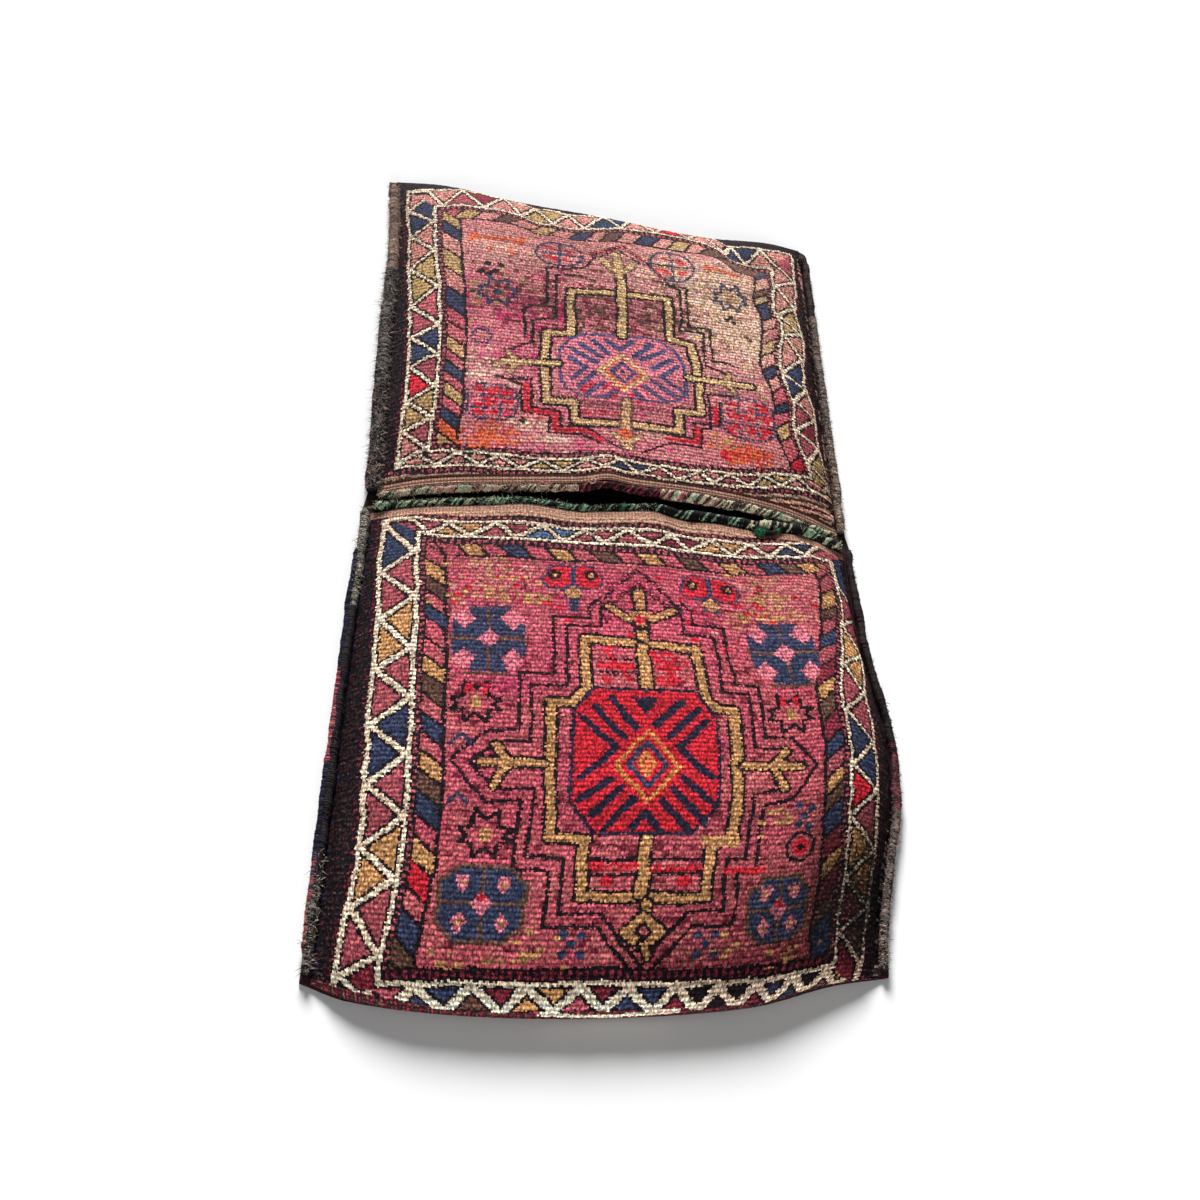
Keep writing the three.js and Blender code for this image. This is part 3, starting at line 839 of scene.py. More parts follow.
def knot_lower_steps(loom):
    """The dark lines that repeat the ring's steps outside it."""
    lines = [
        [(69, 34), (66.2, 37), (66.2, 41.3), (56, 41.3), (56, 62), (47, 62), (47, 80.5), (39, 81.5),
         (31, 90.5), (40, 101.8), (48.6, 101.8), (48.6, 121), (57.4, 121), (57.4, 136), (70, 136), (79, 147)],
        [(71.5, 35), (69.2, 37), (69.2, 44.7), (59.2, 44.7), (59.2, 65.6), (50, 65.6), (50, 84), (42, 84.6),
         (35.5, 90.5), (42, 98.4), (51.6, 98.4), (51.6, 117.6), (60.6, 117.6), (60.6, 132.4), (70.5, 132.4),
         (81.5, 146)],
        [(92, 34), (94.2, 37), (94, 42), (102.6, 42), (102.3, 62.4), (108.4, 62.4), (108.4, 80),
         (115.5, 80.5), (121.5, 90), (115.5, 100.5), (108.1, 102), (108, 121), (103.6, 121),
         (103.6, 136.4), (93.5, 136.4), (84, 147)],
        [(88.5, 34), (91, 36), (90.8, 45.9), (99.5, 45.9), (99, 65.4), (105.5, 65.4), (105.4, 83.4),
         (112, 84)],
        [(112, 97), (105.2, 98.6), (105.2, 117.8), (100.5, 117.8), (100.5, 132.4), (92, 132.4), (82, 145)],
    ]
    for line in lines:
        loom.stroke("dark", line, DARK_LINE)
    for peak in ([(69, 35), (80, 21.5), (91, 36)], [(72, 36), (80, 27.5), (88, 36)]):
        loom.broken("dark", peak, 1.4, 0.6)
        loom.broken("maroon", peak, 3.0, 0.25)
    loom.stroke("red", [(101, 121.5), (109.7, 121.5)], 1.8)


FIVE_SPOTS = [(-2.2, -2.4), (2.2, -2.4), (0, 0), (-2.2, 2.4), (2.2, 2.4)]
# Loose ochre knots in the lower field: u, v, half width, half height, and the share of the knots.
OCHRE_SPOTS = [(40, 25, 8, 3.5), (40, 34, 9, 3), (118, 26, 7, 4), (107, 37, 4, 2.5), (52, 36, 4, 2.5),
               (55, 138, 3.5, 2), (55, 143, 5, 1.8), (103, 140, 3, 3), (35, 145, 4, 2), (45, 145, 4, 2),
               (112, 106, 4, 5), (118, 146, 6, 2), (118, 36, 7, 2)]
OCHRE_SHARE = 0.32


def knot_lower_small(loom):
    """The flowers, rosettes, octagons, stars and loose spots of the field."""
    knot_flower(loom, 61.7, 26)
    loom.box("navy", 60.6, 34.6, 63.4, 39.2)
    knot_flower(loom, 100.2, 26.8)
    knot_rosette(loom, 39, 50.7)
    knot_rosette(loom, 118.2, 49.9)
    knot_octagon(loom, 42, 130.4, 10.4, 9.9)
    knot_octagon(loom, 115.4, 133, 8, 9.4)
    knot_star(loom, 41.2, 111.7)
    for u, v in ((36.4, 72.5), (116, 72.2)):
        knot_star(loom, u, v, "dark", 0.95)
        for hand in (-1, 1):
            loom.box("red", u + hand * 2 - 0.8, v - 6, u + hand * 2 + 0.8, v - 3)
    for yarn, wide, high in (("dark", 4.2, 4.6), ("plum", 3.3, 3.7), ("red", 2.4, 2.6), ("dark", 1.0, 1.1)):
        loom.disc(yarn, 119.4, 115.2, wide, high)
    spots = [(117.1, 102.8), (120.9, 104), (119.1, 106), (117.9, 108.4), (120.9, 109.4)]
    for u, v in ((64.5, 140.4), (97.3, 141)):
        spots += placed(u, v, FIVE_SPOTS)
    for at in spots:
        loom.disc("navy", *at, 1.2)
    for v in (84, 101.5):
        loom.stroke("navy", [(31, v + 2), (33.6, v - 1.5), (36, v + 2)], 1.0)
    for spot in OCHRE_SPOTS:
        loom.speckle("ochre", *spot, OCHRE_SHARE)


# Stray yarn in the ground, laid before the figures: yarn, u, v, half width, half height, share of the knots.
# The clay, beige and straw knots toward the upper face's far edge and right are partly stray yarn and partly
# painted sheen of its pile.
LOWER_STRAYS = [
    ("salmon", 40, 28, 18, 12, 0.12),
    ("ochre", 40, 30, 12, 8, 0.05),
    ("salmon", 116, 30, 14, 12, 0.2),
    ("ochre", 118, 30, 8, 7, 0.08),
    ("red", 80, 36, 44, 12, 0.06),
    ("plum", 48, 62, 30, 20, 0.2),
    ("maroon", 76, 100, 60, 60, 0.07),
    ("maroon", 108, 140, 30, 14, 0.15),
]
UPPER_STRAYS_AND_SHEEN = [
    ("clay", 60, 28, 44, 10, 0.15),
    ("beige", 112, 40, 18, 16, 0.4),
    ("beige", 117, 62, 11, 18, 0.5),
    ("straw", 112, 52, 16, 24, 0.2),
    ("khaki", 38, 64, 16, 14, 0.2),
    ("brown", 78, 60, 28, 10, 0.4),
    ("maroon", 56, 60, 40, 16, 0.2),
    ("magenta", 48, 66, 18, 14, 0.1),
    ("magenta", 42, 86, 16, 8, 0.15),
    ("beige", 36, 92, 12, 6, 0.25),
    ("magenta", 72, 106, 40, 8, 0.07),
    ("magenta", 58, 121, 26, 5, 0.2),
    ("orange", 40, 119, 12, 5, 0.2),
    ("beige", 52, 119, 12, 4, 0.45),
]


def stray_yarn(loom, strays_and_sheen):
    """Lays the stray yarn of a ground, which on the upper face is partly painted sheen."""
    for stray in strays_and_sheen:
        loom.speckle(*stray)


# A stretch of ivory line at the lower fold.
FOLD_LINE, FOLD_LINE_WIDTH = [(58, 157.9), (75, 158.7), (92, 157.7)], 1.6


def weave_lower(rows):
    """The lower face's design."""
    loom = Loom(*LOWER_DESIGN, rows, "rose", seed=11)
    stray_yarn(loom, LOWER_STRAYS)
    weave_frame(loom, LOWER_FRAME)
    knot_selvedges(loom, LOWER_SELVEDGES)
    knot_lip(loom)
    loom.stroke("ivory", FOLD_LINE, FOLD_LINE_WIDTH)
    knot_lower_steps(loom)
    knot_lower_small(loom)
    knot_lower_medallion(loom)
    knot_lower_compartments(loom)
    knot_lower_arms(loom)
    return loom


def knot_upper_medallion(loom):
    """The upper face's gold ring and pink octagon, which lean as the cloth was pulled."""
    ring = [(61.3, 52.3), (78, 50), (94.2, 48), (94, 69), (101.2, 70.5), (102.6, 88), (102.6, 103.6),
            (95.5, 104), (95.5, 113.6), (62, 114), (62, 105.6), (53, 105.4), (52.9, 74.6), (61.3, 74.2)]
    loom.lined("straw", ring + ring[:1], 2.2, "dark", 1.0)
    octagon = [(66, 73.6), (90, 71.2), (95, 74.5), (98, 82), (98.4, 95), (95.5, 99), (90, 101.4), (65, 102.6),
               (60, 100), (57.6, 96), (57.6, 83), (60.5, 77)]
    loom.shape("pink", octagon)
    loom.ring("slate", octagon, 1.1)
    loom.lined("straw", [(78.3, 38), (78.3, 72)], 2.7, "dark", 0.9)
    loom.lined("straw", [(78.4, 103.8), (78.4, 123.4)], 2.7, "brown", 0.9)
    bars = [[(60.7, 85.3), (66, 89.6), (61.3, 95)], [(61.3, 81.2), (69.4, 86.6)], [(64.5, 78.8), (71, 83.7)],
            [(68.3, 76), (73, 81.5)], [(73, 75.5), (77, 79), (81.2, 74.7)], [(87.2, 74), (82.3, 81)],
            [(91.5, 75.6), (84, 82.6)], [(93.7, 80), (87.7, 85.3)], [(96, 83), (90.4, 88.5), (97.5, 95)],
            [(87.2, 91.2), (94.2, 97.2)], [(84.5, 95), (91, 99.9)], [(68.8, 91.8), (63.4, 98.2)],
            [(71.5, 96), (66, 101.5)], [(75.3, 99.3), (72, 102.2)], [(81.8, 98.2), (83.6, 101.8)]]
    for u, v in ((68, 98), (82, 99)):
        loom.speckle("red", u, v, 6, 3, 0.5)
    for bar in bars:
        loom.stroke("slate", bar, BAR_WIDTH)
    knot_heart(loom, [("straw", 78, 90, 8.6, 9.4), ("orange", 78, 89.9, 6.6, 7.4),
                      ("pink", 78, 89.8, 5.6, 6.6), ("slate", 77.8, 89.8, 4.6, 5.6),
                      ("pink", 77.8, 89.8, 2.9, 3.7)])
    loom.disc("navy", 77.8, 89.6, 0.9)


def knot_upper_arms(loom):
    """The candelabrum on top, the tridents at the sides and the bud below."""
    soft_edge = ("brown", 0.7)
    knot_branch(loom, "straw", [(77.4, 27), (77.8, 40)], 2.5,
                [[(72.6, 31.4), (74, 34.6), (77, 37)], [(82.4, 31.8), (81.4, 34.4), (79, 37)]], 2.0,
                soft_edge, soft_edge)
    for stem, fork, tips in (([(40, 89.6), (57, 88.8)], (44.5, 89.4), ((40.8, 85.6), (37, 91), (41.8, 94))),
                             ([(99.6, 87.4), (120.4, 86.6)], (111.6, 87), ((113, 82.6), (114.4, 91.2)))):
        knot_branch(loom, "straw", stem, 2.3, [[tip, fork] for tip in tips], 1.6, soft_edge)
    loom.lined("straw", [(74.2, 118.6), (78.4, 121.5), (82.4, 118.6)], 1.7, "brown", 0.6)
    loom.lozenge("orange", 78.3, 117.7, 2.6, 2.8)


def knot_upper_steps(loom):
    """The dark lines round the upper ring, some of them doubled with red."""
    lines = [
        [(70, 30.7), (66, 38), (60, 40), (53.4, 40.6), (53.4, 60), (46, 64.6), (46, 78)],
        [(65, 43), (56.4, 44.4), (56.4, 67), (48.8, 69), (48.8, 80), (42, 84)],
        [(92.6, 40), (98.5, 41.5), (98.5, 59), (97.4, 63.4), (105.2, 63), (105.2, 80), (112, 82)],
        [(88.3, 29), (95, 40), (100.7, 40.4), (100.7, 61), (107.7, 60.4), (107.7, 77), (116, 78)],
        [(42, 97), (48.4, 96.6), (48.4, 108.6), (57.4, 109.6), (57.4, 116), (65.4, 116), (71, 121),
         (77, 125)],
        [(37, 96), (45.2, 99), (45.2, 110.6), (54, 111.4), (54, 119), (64, 119.4), (70, 123)],
        [(113, 93), (105.6, 93.6), (105.4, 110), (102.2, 110.6), (102.2, 119), (91.5, 119.6), (83, 125)],
        [(108.6, 97), (108.6, 108), (100, 108.4), (99.8, 115.6), (91.5, 115.6)],
    ]
    for line in lines:
        loom.stroke("dark", line, DARK_LINE)
    for run in ([(46.8, 99), (46.8, 109.8), (55.8, 110.6), (55.8, 117.6), (65, 117.6), (70.5, 121.6)],
                [(91.5, 117.4), (101, 117.4), (101, 111)], [(107.2, 100), (107.2, 107)]):
        loom.stroke("red", run, 1.9)
    peak = [(69, 29.5), (80, 20.5), (88.3, 29), (92.6, 38)]
    loom.broken("dark", peak, 1.6, 0.65)
    loom.broken("red", peak, 3.0, 0.25)
    loom.broken("dark", [(72, 30), (78, 23), (85, 29.5)], 1.4, 0.7)
    for left, right in ((64, 76), (81, 93)):
        loom.broken("maroon", [(left, 105.5), (right, 105.5)], 2.4, 0.5)
    loom.broken("red", [(64, 109.5), (75, 109.5)], 2.6, 0.5)


SQUARE = [(-1, -0.6), (-0.5, -1), (0.5, -1), (1, -0.6), (1, 0.6), (0.5, 1), (-0.5, 1), (-1, 0.6)]


def knot_upper_square(loom, u, v, wide, high):
    """A square of red patches, crossed by broken navy lines."""
    patches = [(off_u, off_v) for off_u in (-0.55, 0.05, 0.6) for off_v in (-0.6, 0, 0.6)]
    for at in placed(u, v, patches, wide, high):
        loom.speckle("red", *at, wide * 0.24, high * 0.22, 0.9)
    outline = placed(u, v, SQUARE, wide, high)
    loom.broken("navy", outline + outline[:1], 1.1, 0.75)
    for off in (-0.33, 0.33):
        for line in ([(off, -1), (off, 1)], [(-1, off), (1, off)]):
            loom.broken("navy", placed(u, v, line, wide, high), 0.9, 0.7)


def knot_upper_small(loom):
    """The bars, ovals, stars and squares of the upper field."""
    for line, width in (([(27, 30.3), (45, 27.3)], 1.9), ([(27.2, 31.6), (28.2, 28.4)], 2.2),
                        ([(43.8, 29), (44.8, 25.8)], 2.2), ([(33.7, 34.4), (33.4, 36.8)], 1.5),
                        ([(40.4, 33.4), (41, 35.6)], 1.5), ([(108.6, 26.4), (118.4, 29.8)], 2.4),
                        ([(108.8, 25), (109.4, 28.4)], 1.8)):
        loom.stroke("orange", line, width)
    for u, v, wide, high in ((57.4, 32, 8.2, 6.8), (96.4, 28, 7.8, 9.6)):
        patches = [(off_u, off_v) for off_u in (-0.42, 0.42) for off_v in (-0.4, 0.4)]
        for at in placed(u, v, patches, wide, high):
            loom.speckle("red", *at, wide * 0.24, high * 0.2, 0.8)
        rim = [(math.cos(angle), math.sin(angle)) for angle in np.linspace(0, 2 * math.pi, 13)]
        loom.stroke("navy", placed(u, v, rim, wide, high), 1.1)
        for line in CROSS:
            loom.broken("navy", placed(u, v, line, wide, high), 1.1, 0.9)
    for u, v in ((33.2, 43.6), (36.1, 46.9), (31, 48), (34, 49), (37.6, 43.2)):
        loom.disc("dark", u, v, 1.4)
    knot_star(loom, 37.2, 57.4, "navy", 1.0)
    loom.disc("navy", 37.2, 57.4, 1.6)
    knot_star(loom, 115.8, 42.6, "navy", 0.95)
    for u, v in ((114, 53.8), (116.6, 54.6), (115.2, 52)):
        loom.disc("dark", u, v, 1.0)
    ring = [(29.4, 79), (31, 76.2), (34.4, 76), (36, 79), (34.6, 82), (31, 82.2), (29.4, 79)]
    loom.broken("navy", ring, 1.1, 0.8)
    knot_upper_square(loom, 36.2, 107.6, 7.8, 7.3)
    knot_upper_square(loom, 118, 102.6, 8.6, 9.2)
    animal = [(108, 120), (111, 116.6), (116, 117), (118, 115.2), (120, 117), (125.5, 116.4), (125, 119),
              (121, 120), (122, 123.6), (119, 122), (114, 122.4), (112, 124), (108, 122.6)]
    loom.shape("red", animal)
    loom.speckle("orange", 116, 119, 7, 3, 0.8)
    loom.speckle("ochre", 110, 114.5, 4, 2, 0.7)
    loom.speckle("orange", 34, 121, 6, 3.4, 0.85)
    loom.disc("magenta", 63, 123, 1.8)
    loom.disc("dark", 45.6, 114.4, 1.1)


def weave_upper(rows):
    """The upper face's design."""
    # Its ground is paler than the lower face's: partly fading, partly painted sheen of the pile.
    loom = Loom(*UPPER_DESIGN, rows, "dusk", seed=12)
    stray_yarn(loom, UPPER_STRAYS_AND_SHEEN)
    weave_frame(loom, UPPER_FRAME)
    knot_selvedges(loom, UPPER_SELVEDGES)
    knot_upper_steps(loom)
    knot_upper_small(loom)
    knot_upper_medallion(loom)
    knot_upper_arms(loom)
    return loom


# Where the dyes have faded, bled or taken dirt, and painted shade and sheen: u, v, half width, half height,
# yarn, strength. The brown washes in the lower face's lower right are painted shade over its dent; the salmon
# and beige washes toward the upper face's far edge are partly fading and partly painted sheen of its pile.
LOWER_WASHES_AND_SHADE = [
    (80, 34, 40, 12, "magenta", 0.35),
    (52, 56, 10, 8, "magenta", 0.3),
    (44, 66, 10, 4, "magenta", 0.5),
    (120, 28, 12, 10, "salmon", 0.35),
    (40, 28, 16, 10, "salmon", 0.12),
    (36, 92, 8, 8, "magenta", 0.3),
    (108, 120, 26, 30, "brown", 0.22),
    (128, 130, 7, 24, "brown", 0.4),
]
UPPER_WASHES_AND_SHEEN = [
    (60, 26, 44, 12, "salmon", 0.3),
    (104, 34, 26, 16, "beige", 0.45),
    (116, 56, 13, 26, "beige", 0.8),
    (36, 36, 12, 8, "beige", 0.35),
    (80, 60, 16, 9, "plum", 0.35),
    (50, 58, 20, 12, "plum", 0.35),
    (44, 68, 16, 10, "magenta", 0.3),
    (36, 80, 11, 8, "pink", 0.5),
    (42, 87, 10, 6, "magenta", 0.3),
    (34, 94, 8, 5, "beige", 0.5),
    (46, 96, 10, 6, "pink", 0.5),
    (76, 104, 36, 12, "pink", 0.55),
    (110, 74, 10, 8, "pink", 0.4),
    (60, 120, 34, 6, "pink", 0.5),
    (58, 122, 24, 4, "magenta", 0.2),
    (112, 116, 12, 5, "orange", 0.3),
    (47, 115, 4.5, 1.8, "ivory", 0.6),
    (56, 122, 5, 1.4, "ivory", 0.8),
    (38, 119, 8, 4, "orange", 0.3),
    (86, 116, 6, 2.4, "beige", 0.5),
]
# How readily a yarn takes such a wash, where it isn't 1.
FASTNESS = {"dark": 0.05, "soot": 0.05, "ink": 0.05, "navy": 0.1, "slate": 0.2, "ivory": 0.05, "brown": 0.3,
            "straw": 0.2, "ochre": 0.3, "red": 0.2, "orange": 0.15, "maroon": 0.4}
# Where the pile is darkened, or, below nought, lightened: u, v, half width, half height, strength. On the
# lower face the darkening toward its right side and near its fold is painted shade where the cloth dents and
# falls away, and the lightening along its fold is painted light; on the upper face both are painted shade at
# its sides.
LOWER_PAINTED_SHADE_AND_LIGHT = [
    (139, 132, 10, 22, 1.3),
    (112, 146, 32, 18, 0.3),
    (116, 133, 12, 15, 0.3),
    (127, 132, 5, 22, 0.7),
    (74, 157, 120, 8, -0.45),
    (141, 100, 5, 40, 0.3),
    (75, 146, 40, 6, 0.15),
]
UPPER_PAINTED_SHADE = [
    (143, 110, 6, 40, 0.3),
    (6, 20, 5, 40, 0.2),
]
# Where the pile is worn so low that dark rows of weft show, as in the soils above.
LOWER_WEAR = [
    (114, 146, 26, 10, 0.4),
    (40, 30, 24, 14, 0.25),
]
UPPER_WEAR = [
    (82, 60, 26, 10, 0.5),
    (50, 62, 16, 12, 0.6),
    (76, 106, 30, 5, 0.35),
    (30, 62, 10, 12, 0.35),
    (80, 32, 60, 12, 0.45),
]
# The grounds whose colour is mottled, the cells and the spread of their patches, and how far they turn.
GROUNDS = ("rose", "dusk")
MOTTLE_PATCHES = ((14, 0.7), (5, 0.5))
MOTTLED_GROUND = 0.25
# How unevenly washes, painted shade and light, and wear take, as a range of factors, and how far painted
# shade and light and wear can go.
WASH_TAKES, PAINTED_SHADE_TAKES, WEAR_TAKES = (0.4, 1.6), (0.5, 1.4), (0.4, 1.3)
PAINTED_SHADE_LIMITS, WEAR_LIMITS = (-1, 0.95), (0, 0.9)
# The share of rows that wear bare, and how many cells wide such a row is.
BARE_SHARE, BARE_CELLS = 0.45, 2
# The spread of the dye, as its logarithm: by lots of so many rows, by rows of weft, cell by cell,
# knot by knot and in patches.
LOT_ROWS, LOT_SPREAD = 12, 0.07
WEFT_SPREAD = 0.07
CELL_GRAIN = 0.14
KNOT_SPACING, KNOT_GRAIN = 2, 0.08
PATCH_SPACING, PATCH_GRAIN = 16, 0.06
# The share of cells that are much darker, and much lighter, and by how much.
ODD_SHARE, ODD_DARK, ODD_LIGHT = 0.05, 0.6, 1.3
BRIGHTEST_PILE = 0.92


def near_spot(loom, u, v, wide, high):
    """How near each cell is to the middle of a spot, from 1 there to 0."""
    return np.exp(-((loom.u - u) / wide) ** 2 - ((loom.v - v) / high) ** 2)


def toward(colour, yarn, share):
    """A colour turned by a share toward a yarn's."""
    return colour + (DYES[YARN_ROW[yarn]] - colour) * share[..., None]


def by_yarn(values, other):
    """A value for each row of yarn, from the yarns that are named and another for the rest."""
    table = np.full(len(YARNS), float(other))
    for name, value in values.items():
        table[YARN_ROW[name]] = value
    return table


def washed_with_painted_light(loom, washes_and_painted_light):
    """The colour of every cell as dyed, mottled, faded and bled, with painted shade and painted sheen laid on
    as washes.
    """
    rng, shape = loom.rng, loom.yarn.shape
    colour = DYES[loom.yarn]
    takes = by_yarn(FASTNESS, 1)[loom.yarn]
    ground = np.isin(loom.yarn, [YARN_ROW[name] for name in GROUNDS])
    patches = sum(uneven(rng, shape, cells, spread) for cells, spread in MOTTLE_PATCHES)
    for yarn, side in (("magenta", 1), ("salmon", -1)):
        colour = toward(colour, yarn, np.clip(side * patches, 0, 1) * MOTTLED_GROUND * ground)
    # Washes lay fading, bleeding and dirt, and also painted shade and painted sheen.
    for *spot, yarn, strength in washes_and_painted_light:
        share = strength * near_spot(loom, *spot) * takes * rng.uniform(*WASH_TAKES, shape)
        colour = toward(colour, yarn, np.clip(share, 0, 1))
    return colour


def shaded_lit_and_worn(loom, painted_shade_and_light, wear):
    """What painted shade and light, and bare rows, leave of every cell's light."""
    rng, shape = loom.rng, loom.yarn.shape
    left = np.ones(shape)
    # Painted shade darkens cells; below nought, painted light lightens them.
    for *spot, strength in painted_shade_and_light:
        left *= 1 - np.clip(strength * near_spot(loom, *spot) * rng.uniform(*PAINTED_SHADE_TAKES, shape), *PAINTED_SHADE_LIMITS)
    bare = np.repeat(rng.random(shape[0] // BARE_CELLS + 1) < BARE_SHARE, BARE_CELLS)[:shape[0], None]
    for *spot, strength in wear:
        taken = strength * near_spot(loom, *spot) * bare * rng.uniform(*WEAR_TAKES, shape)
        left *= 1 - np.clip(taken, *WEAR_LIMITS)
    return left


def dyed(loom, washes_and_painted_light, painted_shade_and_light, wear):
    """The colour of every cell: its yarn, with washes of fading, bleeding, dirt, painted shade and sheen,
    with painted shade and light, wear, uneven dye lots and the grain of knots.
    """
    rng, shape = loom.rng, loom.yarn.shape
    colour = washed_with_painted_light(loom, washes_and_painted_light)
    left = shaded_lit_and_worn(loom, painted_shade_and_light, wear)
    lot = uneven(rng, (shape[0], 1), LOT_ROWS, LOT_SPREAD)
    weft = rng.normal(0, WEFT_SPREAD, (shape[0], 1))
    grain = rng.normal(0, CELL_GRAIN, shape)
    grain += uneven(rng, shape, KNOT_SPACING, KNOT_GRAIN)
    grain += uneven(rng, shape, PATCH_SPACING, PATCH_GRAIN)
    gain = np.exp(lot + weft + grain)
    draw = rng.random(shape)
    gain = np.where(draw < ODD_SHARE, gain * ODD_DARK, gain)
    gain = np.where(draw > 1 - ODD_SHARE, gain * ODD_LIGHT, gain)
    return np.clip(colour * (left * gain)[..., None], DARKEST, BRIGHTEST_PILE)


def new_piece(name, vertices, faces, material, colours=None):
    """A smooth mesh object. Each face can have a colour, with its share of relief as a fourth value."""
    mesh = bpy.data.meshes.new(name)
    mesh.from_pydata(np.asarray(vertices, float).tolist(), [], faces)
    mesh.polygons.foreach_set("use_smooth", np.ones(len(faces), bool))
    if colours is not None:
        if colours.shape[1] == 3:
            colours = np.c_[np.clip(colours, DARKEST, BRIGHTEST), np.ones(len(colours))]
        corners = np.repeat(colours.astype(np.float32), [len(face) for face in faces], axis=0)
        paint = mesh.color_attributes.new("dye", "FLOAT_COLOR", "CORNER")
        paint.data.foreach_set("color", corners.ravel())
    mesh.materials.append(material)
    mesh.update()
    piece = bpy.data.objects.new(name, mesh)
    bpy.context.scene.collection.objects.link(piece)
    return piece


def grid_faces(rows, columns, offset=0, flipped=False):
    """The quads between the points of a grid, row by row."""
    corner = offset + np.arange((rows + 1) * (columns + 1)).reshape(rows + 1, columns + 1)
    quads = np.stack([corner[:-1, :-1], corner[:-1, 1:], corner[1:, 1:], corner[1:, :-1]], axis=-1)
    quads = quads.reshape(-1, 4)
    return (quads[:, ::-1] if flipped else quads).tolist()


def stitch(fine, coarse, flipped):
    """Triangles between a fine edge and a coarse one, in fans."""
    faces = []
    step = (len(fine) - 1) // (len(coarse) - 1)
    for k in range(len(coarse) - 1):
        start, middle, end = k * step, k * step + step // 2, (k + 1) * step
        near, far = coarse[k], coarse[k + 1]
        faces += [[fine[i], fine[i + 1], near] for i in range(start, middle)]
        faces.append([fine[middle], far, near])
        faces += [[fine[i], fine[i + 1], far] for i in range(middle, end)]
    return [face[::-1] for face in faces] if flipped else faces


def sheet_faces(outer, inner, flipped):
    """The faces of a closed sheet between a fine outer grid of points and a coarse inner one."""
    offset = outer.shape[0] * outer.shape[1]
    faces = grid_faces(outer.shape[0] - 1, outer.shape[1] - 1, 0, flipped)
    faces += grid_faces(inner.shape[0] - 1, inner.shape[1] - 1, offset, not flipped)
    fine = np.arange(offset).reshape(outer.shape[:2])
    coarse = offset + np.arange(inner.shape[0] * inner.shape[1]).reshape(inner.shape[:2])
    ahead, back = slice(None), slice(None, None, -1)
    for edge, across, along in ((0, back, ahead), (-1, ahead, back)):
        faces += stitch(fine[edge, across].tolist(), coarse[edge, across].tolist(), flipped)
        faces += stitch(fine[along, edge].tolist(), coarse[along, edge].tolist(), flipped)
    return faces


NO_LENGTH = 1e-12


def grid_normals(points):
    """The upward normals of a grid of points."""
    normal = np.cross(np.gradient(points, axis=1), np.gradient(points, axis=0))
    normal /= np.maximum(np.linalg.norm(normal, axis=-1, keepdims=True), NO_LENGTH)
    return normal * np.where(normal[..., 2:] < 0, -1, 1)


# The pile's relief, in metres: how cells differ in height and stray sideways, how rows differ, how far a yarn
# stands out, and over how many cells the relief dies out at the fold and the sides.
RELIEF_JITTER, RELIEF_STRAY, RELIEF_RIB = 0.00030, 0.00022, 0.00012
RELIEF_BY_YARN = {
    "ivory": 0.0004, "dark": -0.0004, "soot": -0.0004, "ink": -0.0003, "navy": -0.0001, "brown": -0.0002,
}
RELIEF_FADE = 3
# The plain-woven band at the mouth: how deep it lies, how high its ribs are, the painted shade in their
# furrows and painted light on them, grain and yarns.
BAND_SINK, BAND_RIB = -0.0012, 0.00018
BAND_RIB_PAINTED_SHADE_AND_LIGHT, BAND_GRAIN = (0.75, 1.1), 0.16
BAND_YARNS = {
    "lower": "hair tan fawn tan fawn tan fawn tan",
    "upper": "tan hair clay brown tan clay hair brown",
}
# How much of the pile's relief plain weave shows, and the yarn of the inside and its painted shade.
PLAIN_RELIEF = 0.25
INSIDE_YARN, INSIDE_PAINTED_SHADE = "maroon", 0.6


def pile_relief(knots, rng):
    """How far each grid corner of the pile stands out, from the yarns round it and the rows of knots."""
    height = by_yarn(RELIEF_BY_YARN, 0)[knots] + rng.normal(0, RELIEF_JITTER, knots.shape)
    height = np.pad(height, 1, mode="edge")
    height = (height[:-1, :-1] + height[1:, :-1] + height[:-1, 1:] + height[1:, 1:]) / 4
    return height + np.where(np.arange(len(height)) % 2, RELIEF_RIB, -RELIEF_RIB)[:, None]


def band_colours(rng, columns, yarns):
    """The plain weave at the mouth: a row of each yarn from the binding to the pile, with painted light on
    its warp ribs and painted shade between them.
    """
    base = DYES[yarn_rows(yarns)][:, None, :]
    furrow, painted_ridge_light = BAND_RIB_PAINTED_SHADE_AND_LIGHT
    rib = np.where(np.arange(columns) % 2, painted_ridge_light, furrow)
    grain = np.exp(rng.normal(0, BAND_GRAIN, (BAND_ROWS, columns)))
    return np.clip(base * (rib[None, :] * grain)[..., None], DARKEST, BRIGHTEST)


def outer_skin(pouch, across, along, knots, rng):
    """The upper skin of a face: the plain-woven band, and the pile with its relief."""
    skin = pouch.point(across, along) + SHIFT
    row, column = np.arange(skin.shape[0]), np.arange(skin.shape[1])
    relief = np.full(skin.shape[:2], BAND_SINK) + np.where(column % 2, BAND_RIB, -BAND_RIB)
    relief[BAND_ROWS:] = pile_relief(knots, rng)
    from_fold = np.minimum(row[::-1], RELIEF_FADE)[:, None] / RELIEF_FADE
    from_side = np.minimum(np.minimum(column, column[::-1]), RELIEF_FADE)[None, :] / RELIEF_FADE
    normal = grid_normals(skin)
    stray = rng.normal(0, RELIEF_STRAY, skin.shape)
    stray[:BAND_ROWS + 1] = 0
    stray -= normal * np.sum(stray * normal, axis=-1, keepdims=True)
    return skin + (from_fold * from_side)[..., None] * (normal * relief[..., None] + stray)


